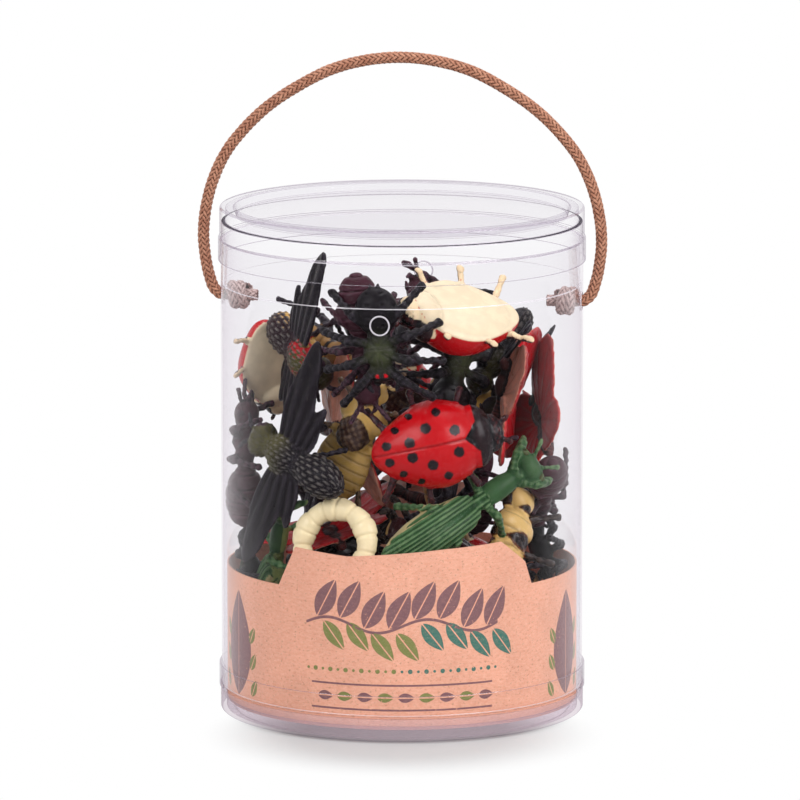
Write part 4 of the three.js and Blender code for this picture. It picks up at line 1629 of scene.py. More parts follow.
@dataclass
class Spider(Toy):
    """A smooth black spider with a mossy front and red eyes."""

    slot: Slot = Slot.BLACK
    beads: Pairs = ((4.5, 8.0), (10.5, 11.0), (15.0, 14.0))
    flat: float = 0.75
    leg_rows: Legs = (
        (9.0, 42.0, 19.0, 2.0, -5.0), (6.0, 14.0, 19.0, 3.0, -6.0), (3.0, -14.0, 19.0, 3.0, -6.0),
        (0.0, -44.0, 20.0, 2.0, -5.0),
    )
    leg_radius: float = 1.45

    def shape(self, clay: Clay) -> None:
        """Adds body, legs, jaws and spinnerets."""
        super().shape(clay)
        clay.rods([(12.5, 1.8, -0.5), (15.2, 2.0, -1.6)], [1.9, 1.3])
        clay.rods([(11.5, 3.2, 0.0), (15.5, 5.2, 0.6), (18.0, 3.8, -0.6)], [1.0, 1.0, 0.8])
        clay.lumps((12.6, 1.35, 2.5), (0.6, 0.6, 0.6))
        clay.rods([(-14.0, 1.0, 0.0), (-16.0, 1.3, 0.3)], [0.9, 0.6])

    def relief(self, skin: Skin) -> Array:
        """Rayed grooves on the front shell and dimples on the abdomen."""
        front = self.on_bead(skin, 1) & (skin.up > 0.2)
        angle = np.arctan2(skin.y, skin.x - 4.0)
        rays = -0.25 * np.clip(np.cos(8 * angle), 0, 1) ** 3 * front
        back = self.on_bead(skin, 2) & (skin.up > 0.0)
        rows = -0.35 * np.exp(-(((np.abs(skin.y) - 2.4) / 0.8) ** 2))
        dimples = rows * np.clip(np.cos(2 * pi * skin.x / 3.4), 0, 1) ** 2 * back
        return rays + dimples

    def colours(self, skin: Skin, coat: Coat) -> Array:
        """Black, mossy on the front shell, with two red eyes."""
        moss = np.exp(-(((skin.x - 5.5) / 4.6) ** 2 + (skin.y / 4.6) ** 2)) * np.clip(skin.up + 0.2, 0, 1)
        paint = mixed(skin.painted("0D0A0D"), "4A5230", moss * 0.8)
        paint = self.worn(paint, skin, "4C4650", 0.3)
        paint[skin.from_pair(12.8, 1.35, 2.8) < 0.62] = rgb("B8121C")
        return paint


@dataclass
class Hornet(Toy):
    """A hairy toy with four long ribbed wings."""

    beads: Pairs = ((8.0, 11.5), (13.0, 13.0), (19.0, 12.5))
    flat: float = 0.9
    leg_rows: Legs = (
        (7.0, 40.0, 11.0, -2.0, -9.0), (3.0, -5.0, 11.0, -2.0, -10.0), (-1.0, -45.0, 12.0, -2.0, -9.0),
    )
    leg_radius: float = 1.15
    scale_rows: Pair = (3.4, 17.0)
    hair_rows: Pair = (2.6, 15.0)

    def shape(self, clay: Clay) -> None:
        """Adds body, legs, wings, eyes and feelers."""
        super().shape(clay)
        for side in (1, -1):
            clay.leaf(40.0, 12.0, 1.1, self.wing_place(side, 3.0, 2.5, -6.0, -3.0), 0.6)
            clay.leaf(22.0, 8.0, 1.1, self.wing_place(side, 0.5, 2.0, 14.0, -2.0), 0.3)
        clay.lumps((17.2, 3.6, 1.2), (2.0, 1.7, 2.4))
        clay.rods([(19.0, 1.4, 1.0), (21.5, 3.4, 2.4), (23.0, 6.0, 2.0)], [0.8, 0.75, 0.7])
        clay.rod([(-19.0, 0, 0), (-21.2, 0, -0.4)], [1.3, 0.5])

    def on_wing(self, skin: Skin) -> Array:
        """Which points lie on a wing."""
        return (np.abs(skin.y) > 6.0) & (skin.z > -1.9) & ~self.on_body(skin)

    def knobs(self, skin: Skin) -> Array:
        """Uneven lumps along the limbs, not on the wings."""
        return super().knobs(skin) * ~self.on_wing(skin)

    def relief(self, skin: Skin) -> Array:
        """Ribs on the wings, rows of scales on the tail and hair on the front."""
        fan = (skin.x - 3.0) / (np.abs(skin.y) * 0.05 + 1.0)
        ribs = 0.22 * np.cos(fan * 3.1) * self.on_wing(skin)
        scales = 0.5 * dashes(skin, *self.scale_rows) * self.on_bead(skin, 2) * (skin.up > -0.5)
        hairy = self.on_bead(skin, 1) | self.on_bead(skin, 0)
        hair = 0.4 * dashes(skin, *self.hair_rows) * hairy * (skin.up > -0.3)
        return ribs + scales + hair

    def colours(self, skin: Skin, coat: Coat) -> Array:
        """Mossy head and shoulders, dark tail and wings, paler hair tips."""
        paint = skin.painted("120D13" if coat is Coat.BLACK else "241219")
        front = ease(1.0, 9.0, skin.x) * self.on_body(skin, 1.2) * np.clip(skin.up + 0.7, 0, 1)
        paint = mixed(paint, "55522C", front * 0.85)
        if coat is Coat.MAROON:
            under = (self.on_bead(skin, 1) | self.on_bead(skin, 2)) & (skin.up < 0.15)
            paint[under] = rgb("C79B4C")
            side = self.on_bead(skin, 1) & (np.abs(skin.normals[:, 1]) > 0.5) & (skin.up > -0.1)
            paint[side] = rgb("B01A22")
        paint[self.on_wing(skin)] = rgb("120D13")
        paint[skin.from_pair(17.4, 4.2, 1.2) < 2.1] = rgb("3A2430")
        paint = self.worn(paint, skin, "57505A", 0.3)
        tips = dashes(skin, *self.scale_rows) * self.on_bead(skin, 2)
        tips = tips + dashes(skin, *self.hair_rows) * self.on_bead(skin, 1)
        return mixed(paint, "8F8A80", np.clip(tips * 0.5, 0, 1) * (skin.up > -0.3))


@dataclass
class Ant(Toy):
    """A maroon ant with a ringed tail."""

    slot: Slot = Slot.MAROON
    beads: Pairs = ((9.0, 9.0), (13.0, 7.5), (20.0, 14.0))
    flat: float = 0.9
    leg_rows: Legs = (
        (7.0, 45.0, 15.0, 3.0, -6.0), (3.0, 0.0, 14.0, 3.0, -7.0), (-1.0, -45.0, 16.0, 3.0, -6.0),
    )
    leg_radius: float = 1.2

    def shape(self, clay: Clay) -> None:
        """Adds body, legs, feelers and jaws."""
        super().shape(clay)
        self.feelers(clay, 18.0, 8.0, 6.0, 0.9, 2.0)
        clay.rods([(20.0, 2.2, -0.8), (22.6, 2.4, -1.2), (24.0, 0.9, -1.3)], [1.3, 1.0, 0.6])
        clay.lumps((17.6, 3.5, 1.4), (1.3, 1.0, 1.3))
        clay.lump((7.5, 0, 1.4), (4.0, 3.4, 3.0))
        clay.lump((2.2, 0, 1.0), (3.4, 2.9, 2.8))

    def relief(self, skin: Skin) -> Array:
        """Rings round the tail."""
        return rings(skin.x - 1.5, 4.4, 0.6) * self.on_bead(skin, 2)

    def colours(self, skin: Skin, coat: Coat) -> Array:
        """Maroon, darker on the limbs."""
        paint = skin.painted("3A1A24")
        paint[~self.on_body(skin, 1.2)] = rgb("20141B")
        paint[skin.from_pair(17.6, 4.0, 1.4) < 1.3] = rgb("1A1218")
        return self.worn(paint, skin, "75505E", 0.35)


@dataclass
class Mantis(Toy):
    """A green mantis with striped wings folded on its back."""

    slot: Slot = Slot.GREEN
    beads: Pairs = ((7.0, 10.5), (19.0, 7.5), (36.0, 15.0))
    flat: float = 0.8
    leg_rows: Legs = ((8.0, 10.0, 14.0, 2.0, -8.0), (0.0, -48.0, 19.0, 3.0, -8.0))
    leg_radius: float = 1.3

    def shape(self, clay: Clay) -> None:
        """Adds body, legs, catching arms, wings and head."""
        super().shape(clay)
        self.feelers(clay, 28.0, 7.0, 5.0, 0.9, 2.0)
        arm = [(21.0, 1.5, 0.0), (26.5, 5.5, 1.0), (30.5, 7.2, -2.0), (33.4, 8.0, -6.4)]
        clay.rods(arm, [1.6, 2.0, 1.6, 1.0])
        clay.lumps((28.6, 4.3, 1.0), (1.6, 1.4, 1.7))
        clay.lumps((-12.5, 2.6, 1.6), (18.2, 4.6, 4.4))

    def veins(self, skin: Skin) -> Array:
        """Waves along the folded wings, -1 to 1."""
        return np.cos(np.abs(skin.y) * 4.6 + skin.x * 0.12)

    def relief(self, skin: Skin) -> Array:
        """Long ribs on the folded wings, rings on the belly."""
        back = self.on_bead(skin, 2, 1.3) & (skin.up > -0.1)
        ribs = 0.15 * self.veins(skin) * back
        seam = -0.45 * np.exp(-((skin.y / 0.4) ** 2)) * back
        belly = self.on_bead(skin, 2, 1.3) & (skin.up < -0.3)
        return ribs + seam + rings(skin.x, 4.6, 0.4) * belly

    def colours(self, skin: Skin, coat: Coat) -> Array:
        """Leaf green, cream along the wings' edges and below, paler arms."""
        stripe = np.clip(self.veins(skin), 0, 1) ** 2 * self.on_bead(skin, 2, 1.3) * 0.25
        paint = mixed(skin.painted("2F5230"), "527C4E", stripe)
        rim = self.on_bead(skin, 2, 1.35) & (np.abs(skin.y) > 5.2) & (skin.up < 0.35)
        paint[rim] = rgb("B8A878")
        below = skin.up < -0.35
        paint[below] = paint[below] * 0.35 + rgb("A8B66E") * 0.65
        paint[skin.from_pair(28.8, 4.6, 1.4) < 1.5] = rgb("3A3A1A")
        return self.worn(paint, skin, "9DBB86", 0.3)


@dataclass
class Cricket(Toy):
    """A dark cricket with big hind legs."""

    slot: Slot = Slot.PURPLE
    beads: Pairs = ((9.0, 10.5), (11.0, 12.0), (26.0, 12.5))
    flat: float = 0.9
    leg_rows: Legs = ((14.0, 45.0, 11.0, -1.0, -8.0), (7.0, 0.0, 11.0, -1.0, -8.0))
    leg_radius: float = 1.15

    def shape(self, clay: Clay) -> None:
        """Adds body, legs, hind legs, feelers and eyes."""
        super().shape(clay)
        self.feelers(clay, 21.0, 9.0, 5.0, 0.8, 2.0)
        hind = [(-1.0, 3.4, 0.0), (-7.0, 6.6, 4.2), (-14.0, 8.0, 7.0), (-20.0, 8.4, 0.2), (-24.0, 8.5, -7.0)]
        clay.rods(hind, [2.2, 2.3, 1.5, 1.1, 1.3])
        clay.lumps((20.0, 3.9, 1.6), (1.5, 1.2, 1.6))

    def relief(self, skin: Skin) -> Array:
        """Rings on the tail and veins on the wing covers."""
        tail = self.on_bead(skin, 2)
        veins = 0.22 * np.cos(skin.y * 4.2) * tail * (skin.up > 0.3)
        return rings(skin.x + 1, 3.8, 0.4) * tail * (skin.up <= 0.3) + veins

    def colours(self, skin: Skin, coat: Coat) -> Array:
        """Dark plum with a brown collar and a tan belly."""
        paint = skin.painted("150E15")
        paint[self.on_bead(skin, 1)] = rgb("2C1C1E")
        paint[self.on_body(skin) & (skin.up < -0.45)] = rgb("A37C48")
        return self.worn(paint, skin, "5E5662", 0.32)


@dataclass
class Beetle(Toy):
    """A stag beetle: hard wing cases, a wide collar and a pair of jaws."""

    beads: Pairs = ((8.0, 11.0), (11.0, 17.0), (23.0, 21.0))
    flat: float = 0.6
    leg_rows: Legs = (
        (9.0, 35.0, 15.0, 0.0, -6.0), (2.0, 0.0, 15.0, 0.0, -7.0), (-6.0, -35.0, 16.0, 0.0, -6.0),
    )
    leg_radius: float = 1.3
    glossy: bool = True

    def shape(self, clay: Clay) -> None:
        """Adds body, legs and jaws."""
        super().shape(clay)
        jaw = [(18.0, 2.4, 0.0), (21.5, 4.6, 0.3), (24.5, 4.4, 0.7), (27.0, 2.5, 1.0)]
        clay.rods(jaw, [1.7, 1.5, 1.2, 0.9])
        clay.lumps((23.0, 3.2, 0.6), (0.9, 1.2, 0.8))

    def relief(self, skin: Skin) -> Array:
        """A seam and fine ribs on the wing cases, plates on the belly."""
        back = self.on_bead(skin, 2) & (skin.up > 0.1)
        seam = -0.5 * np.exp(-((skin.y / 0.4) ** 2)) * back
        ribs = 0.16 * np.cos(skin.y * 2.6) * back
        belly = self.on_bead(skin, 2) & (skin.up < -0.3)
        chest = self.on_bead(skin, 1) & (skin.up < -0.3)
        return seam + ribs + rings(skin.x + 0.8, 4.0, 0.5) * belly + rings(skin.x, 5.0, 0.35) * chest

    def colours(self, skin: Skin, coat: Coat) -> Array:
        """Black or maroon cases, or tan all over with a yellow belly that turns orange-brown towards its
        sides.
        """
        back = {Coat.BLACK: "0F0B0F", Coat.MAROON: "3A1219", Coat.TAN: "6A3A1E"}[coat]
        paint = skin.painted(back)
        belly = self.on_body(skin, 1.15) & (skin.up < 0.0)
        if coat is Coat.BLACK:
            paint[belly] = rgb("211A1E")
        else:
            paint[belly] = rgb("E6C078")
            belly_side_tone = ease(0.72, 1.0, np.abs(skin.y) / 10.5) * belly * 0.8
            paint = mixed(paint, "A24A1C", belly_side_tone)
        paint[~self.on_body(skin, 1.2)] = rgb("190E13")
        return self.worn(paint, skin, "8C7868", 0.2)


@dataclass
class Butterfly(Toy):
    """A butterfly with red wings, dark veins and pale undersides."""

    slot: Slot = Slot.CRIMSON
    beads: Pairs = ((5.0, 5.5), (9.0, 6.0), (17.0, 5.0))
    edge_on: bool = True

    def shape(self, clay: Clay) -> None:
        """Adds body, four wings and feelers."""
        self.chain(clay)
        self.feelers(clay, 14.0, 8.0, 5.0, 0.8, 2.0)
        for side in (1, -1):
            clay.leaf(33.0, 24.0, 1.15, self.wing_place(side, 5.0, 0.6, -24.0, 12.0), 0.8)
            clay.leaf(25.0, 20.0, 1.15, self.wing_place(side, 0.0, 0.6, 38.0, 10.0), 0.6)

    def veins(self, skin: Skin) -> Array:
        """Veins that fan out over the wings, 0 to 1."""
        angle = np.arctan2(skin.x - 2.5, np.abs(skin.y) + 0.5)
        return np.clip(np.cos(angle * 17.0), 0, 1)

    def relief(self, skin: Skin) -> Array:
        """Raised veins on the wings, rings on the body."""
        body = self.on_body(skin)
        raised = 0.24 * self.veins(skin) ** 4 * ~body
        return raised + rings(skin.x, 2.6, 0.3) * body * (skin.x < 2)

    def colours(self, skin: Skin, coat: Coat) -> Array:
        """Red above with a dark rim and veins, pinkish cream below, dark body."""
        paint = mixed(skin.painted("B5101C"), "3A1016", self.veins(skin) ** 6 * 0.35)
        reach = np.hypot(skin.x - 2.5, skin.y)
        paint = mixed(paint, "2A1016", ease(28.0, 32.0, reach) * 0.6)
        below = skin.up < -0.15
        paint[below] = rgb("D9A088") * 0.8 + paint[below] * 0.2
        paint[self.on_body(skin, 1.25)] = rgb("2B1E20")
        paint[np.hypot(skin.y, skin.z) < 2.4] = rgb("2B1E20")
        return self.worn(paint, skin, "F08078", 0.2)


@dataclass
class Cockroach(Toy):
    """A flat oval toy with a wide collar and long wing covers."""

    beads: Pairs = ((7.0, 10.0), (11.0, 18.0), (25.0, 19.0))
    flat: float = 0.42
    leg_rows: Legs = (
        (8.0, 40.0, 14.0, 0.0, -4.0), (2.0, -10.0, 15.0, 0.0, -5.0), (-4.0, -45.0, 17.0, 0.0, -4.0),
    )
    leg_radius: float = 1.1
    glossy: bool = True

    def shape(self, clay: Clay) -> None:
        """Adds body, legs, feelers and tail prongs."""
        super().shape(clay)
        self.feelers(clay, 19.0, 9.0, 6.0, 0.85, 1.0)
        clay.rods([(-19.5, 3.0, 0.0), (-22.5, 4.2, 0.2)], [0.9, 0.6])

    def relief(self, skin: Skin) -> Array:
        """A seam and veins above, plates below."""
        tail = self.on_bead(skin, 2)
        above = tail & (skin.up > 0.1)
        below = tail & (skin.up < -0.1)
        seam = -0.4 * np.exp(-(((skin.y - 0.05 * (skin.x - 3)) / 0.4) ** 2)) * above
        veins = 0.15 * np.cos(np.abs(skin.y) * 3.4 + skin.x * 0.5) * above
        return seam + veins + rings(skin.x + 1.4, 3.4, 0.5) * below

    def colours(self, skin: Skin, coat: Coat) -> Array:
        """Dark above, straw yellow below."""
        paint = skin.painted("2C1A18" if coat is Coat.TAN else "140D11")
        belly = self.on_body(skin, 1.2) & (skin.up < 0.1)
        paint[belly] = rgb("C9A45C") if coat is Coat.TAN else rgb("5A3E2E")
        paint[~self.on_body(skin, 1.25)] = rgb("3E2A24")
        return self.worn(paint, skin, "B49878", 0.3)


@dataclass
class Larva(Toy):
    """A straight, ringed larva."""

    slot: Slot = Slot.YELLOW
    beads: Pairs = ((9.0, 9.5), (9.0, 10.0), (9.0, 10.0), (9.0, 10.0), (8.0, 8.5))
    flat: float = 0.9

    def shape(self, clay: Clay) -> None:
        """Adds the rings of the body and stub feet."""
        self.chain(clay)
        for x in (15.0, 10.0, -2.0, -7.0, -12.0):
            clay.rods([(x, 2.0, -2.6), (x, 2.3, -4.2)], [1.2, 0.9])

    def relief(self, skin: Skin) -> Array:
        """A crease in each ring."""
        return rings(skin.x + 0.4, 4.5, 0.3)

    def colours(self, skin: Skin, coat: Coat) -> Array:
        """Straw yellow with green saddles, dark dots and a brown head."""
        saddle = np.clip(np.cos(2 * pi * skin.x / 9.0), 0, 1) * np.clip(skin.up, 0, 1) * 0.7
        paint = mixed(skin.painted("D9BC6A"), "6E7A34", saddle)
        dot = np.hypot(np.mod(skin.x + 4.5, 9.0) - 4.5, np.abs(skin.y) - 3.6) < 0.9
        paint[dot & (skin.up > 0)] = rgb("33241C")
        paint[skin.x > 16.5] = rgb("6A3A22")
        return self.worn(paint, skin, "F0E0A0", 0.3)


@dataclass
class Grub(Toy):
    """A curled cream grub."""

    bend_radius: float = 11.5
    thickness: float = 4.0
    glossy: bool = True
    slot: Slot = Slot.CREAM
    beads: Pairs = ((30.0, 30.0),)

    def shape(self, clay: Clay) -> None:
        """Adds rings along an open curl."""
        for k in range(29):
            angle = radians(-36 + k * 9.0)
            ring = 0.9 + 0.1 * cos(k * pi / 3.5)
            fat = self.thickness * ring * (0.86 if k in (0, 28) else 1.0)
            at = (self.bend_radius * cos(angle), self.bend_radius * sin(angle), 0)
            clay.lump(at, (fat, fat, fat * 0.94))
        clay.lump((10.0, -8.2, 0), (3.0, 3.0, 3.0))

    def relief(self, skin: Skin) -> Array:
        """Creases across the curl."""
        angle = np.degrees(np.arctan2(skin.y, skin.x))
        return rings(angle, 24.0, 0.45)

    def colours(self, skin: Skin, coat: Coat) -> Array:
        """Cream, with a tan head."""
        head = 1 - ease(2.4, 3.6, np.hypot(skin.x - 10.0, skin.y + 8.9))
        return mixed(skin.painted("F6E6B8"), "C98A44", head)


class Kind(Enum):
    """The kinds of toy."""

    LADYBIRD = Ladybird
    SPIDER = Spider
    HORNET = Hornet
    ANT = Ant
    MANTIS = Mantis
    CRICKET = Cricket
    BEETLE = Beetle
    BUTTERFLY = Butterfly
    COCKROACH = Cockroach
    LARVA = Larva
    GRUB = Grub


# The toys of the solid model and their coats. The first word of a node's name is its kind
TOYS = {
    "ladybird_front": Coat.PLAIN,
    "hornet_front": Coat.BLACK,
    "spider_front": Coat.PLAIN,
    "mantis_front": Coat.PLAIN,
    "grub_left": Coat.PLAIN,
    "ladybird_upturned": Coat.PLAIN,
    "beetle_upturned": Coat.TAN,
    "hornet_left": Coat.MAROON,
    "spider_right": Coat.PLAIN,
    "butterfly_right": Coat.PLAIN,
    "ant_left": Coat.PLAIN,
    "ant_top": Coat.PLAIN,
    "cricket_right": Coat.PLAIN,
    "cockroach_belly": Coat.TAN,
    "beetle_right": Coat.MAROON,
    "mantis_left": Coat.PLAIN,
    "ant_right": Coat.PLAIN,
    "beetle_floor": Coat.BLACK,
    "larva_floor": Coat.PLAIN,
    "cricket_floor": Coat.PLAIN,
    "spider_floor": Coat.PLAIN,
    "beetle_middle": Coat.MAROON,
    "larva_middle": Coat.PLAIN,
    "cockroach_middle": Coat.BLACK,
    "mantis_middle": Coat.PLAIN,
    "spider_middle": Coat.PLAIN,
    "grub_back": Coat.PLAIN,
    "ladybird_back": Coat.PLAIN,
    "beetle_back": Coat.BLACK,
    "hornet_back": Coat.BLACK,
    "ant_back": Coat.PLAIN,
}


class Side(Enum):
    """Sides that the tub is looked at from, in degrees from the front."""

    FRONT = 7.0
    RIGHT = 97.0
    BACK = 187.0
    LEFT = 277.0


@dataclass(frozen=True)
class Extra:
    """One more toy for a gap that shows from a side. The zone bounds the place of its middle in that
    side's picture: left, right, low and high."""

    kind: Kind
    coat: Coat = Coat.PLAIN
    side: Side = Side.FRONT
    size: float = 0.88
    zone: tuple[float, float, float, float] = (-60.0, 60.0, 0.0, 200.0)


EXTRAS = (
    Extra(Kind.LADYBIRD, size=0.8, zone=(-46.0, -30.0, 104.0, 122.0)),
    Extra(Kind.BUTTERFLY, zone=(-44.0, -22.0, 92.0, 112.0)),
    Extra(Kind.BUTTERFLY, zone=(36.0, 52.0, 78.0, 112.0)),
    Extra(Kind.BUTTERFLY, zone=(-24.0, 4.0, 68.0, 90.0)),
    Extra(Kind.SPIDER),
    Extra(Kind.HORNET, Coat.BLACK),
    Extra(Kind.ANT),
    Extra(Kind.CRICKET),
    Extra(Kind.COCKROACH, Coat.TAN),
    Extra(Kind.SPIDER),
    Extra(Kind.HORNET, Coat.MAROON),
    Extra(Kind.ANT),
    Extra(Kind.CRICKET),
    Extra(Kind.HORNET, Coat.BLACK, Side.BACK),
    Extra(Kind.LADYBIRD, Coat.PLAIN, Side.LEFT),
    Extra(Kind.ANT, Coat.PLAIN, Side.RIGHT),
    Extra(Kind.BUTTERFLY, Coat.PLAIN, Side.BACK),
    Extra(Kind.SPIDER, Coat.PLAIN, Side.LEFT),
    Extra(Kind.CRICKET, Coat.PLAIN, Side.RIGHT),
    Extra(Kind.COCKROACH, Coat.TAN, Side.LEFT),
    Extra(Kind.SPIDER, Coat.PLAIN, Side.RIGHT, 0.74),
    Extra(Kind.ANT, Coat.PLAIN, Side.LEFT, 0.74),
)


@dataclass
class Room:
    """The tub's inside as a grid of cells, taken or free, and what is already seen from some sides."""

    radius: float = 55.3
    floor: float = 4.2
    ceiling: float = 137.0
    cell: float = 1.0
    view_cell: float = 2.0
    rise_deg: float = 9.7
    view_low: float = 38.0
    fill_top: float = 124.0
    fill_half: float = 51.0
    give: float = 0.035
    knot_reach: float = 44.5
    knot_half: float = 7.0
    knot_heights: Pair = (127.5, 139.5)
    columns: int = 200
    rows: int = 100

    def __post_init__(self) -> None:
        """Starts with an empty tub."""
        across = int(2 * self.radius / self.cell) + 3
        tall = int(self.ceiling / self.cell) + 3
        self.taken = np.zeros((across, across, tall), dtype=bool)
        self.shown: dict[Side, Array] = {}

    def cells(self, points: Array) -> tuple[Array, Array, Array]:
        """The grid cells that points lie in."""
        whole = ((points + np.array([self.radius, self.radius, 0])) / self.cell + 1).astype(int)
        whole = np.clip(whole, 0, np.array(self.taken.shape) - 1)
        return whole[..., 0], whole[..., 1], whole[..., 2]

    def outside(self, points: Array) -> Array:
        """Which points lie outside the tub or in a knot."""
        reach = np.hypot(points[..., 0], points[..., 1])
        z = points[..., 2]
        beyond = (reach > self.radius) | (z < self.floor) | (z > self.ceiling)
        low, high = self.knot_heights
        aside = (np.abs(points[..., 0]) > self.knot_reach) & (np.abs(points[..., 1]) < self.knot_half)
        return beyond | (aside & (z > low) & (z < high))

    def fits(self, points: Array) -> Array:
        """Whether toys stay in the tub and press into others no more than soft vinyl gives."""
        pressed = self.taken[self.cells(points)].mean(axis=-1)
        return ~self.outside(points).any(axis=-1) & (pressed <= self.give)

    def empty(self, side: Side) -> Array:
        """Places in a side's picture where nothing is seen yet, across and up."""
        rows = np.arange(int((self.fill_top - self.view_low) / self.view_cell))
        columns = np.arange(int(2 * self.radius / self.view_cell))
        cells = (rows[:, None] * self.columns + columns).ravel()
        bare = cells[~self.picture(side)[cells]]
        across = (bare % self.columns + 0.5) * self.view_cell - self.radius
        up = (bare // self.columns + 0.5) * self.view_cell + self.view_low
        return np.stack([across, up], axis=1)[np.abs(across) < self.fill_half]

    def pixels(self, points: Array, side: Side) -> Array:
        """Which cells of a side's picture points fall on.

        Args:
            points: Points.
            side: The side that is looked from.

        Returns:
            Numbers of cells, without doubles.
        """
        turn = radians(side.value)
        rise = radians(self.rise_deg)
        across = points[:, 0] * cos(turn) + points[:, 1] * sin(turn)
        away = points[:, 1] * cos(turn) - points[:, 0] * sin(turn)
        up = points[:, 2] * cos(rise) + away * sin(rise)
        column = ((across + self.radius) / self.view_cell).astype(int)
        row = ((up - self.view_low) / self.view_cell).astype(int)
        inside = up > self.view_low
        return np.unique(row[inside] * self.columns + column[inside])

    def gain(self, points: Array, side: Side) -> int:
        """How many empty cells of a side's picture a toy would fill."""
        return int((~self.picture(side)[self.pixels(points, side)]).sum())

    def picture(self, side: Side) -> Array:
        """A side's picture, kept as one long row of cells."""
        return self.shown.setdefault(side, np.zeros(self.columns * self.rows, dtype=bool))

    def put(self, points: Array) -> None:
        """Marks a toy's cells as taken and as seen."""
        self.taken[self.cells(points)] = True
        for side in Side:
            self.picture(side)[self.pixels(points, side)] = True

    def slid(self, points: Array, step: Array, most: int) -> Array:
        """Slides a toy until something stops it.

        Args:
            points: The toy's points.
            step: One step.
            most: The most steps.

        Returns:
            How far it went.
        """
        moved = np.zeros(3)
        for _ in range(most):
            if not self.fits(points + moved + step):
                break
            moved = moved + step
        return moved


def placed(turn: Array, middle: Array, size: float = 1.0) -> Matrix:
    """The place, in metres, of a toy that is turned, sized and moved in millimetres."""
    rows = [[*(turn[k] * (size * MM)), middle[k] * MM] for k in range(3)]
    return Matrix(rows + [[0, 0, 0, 1]])


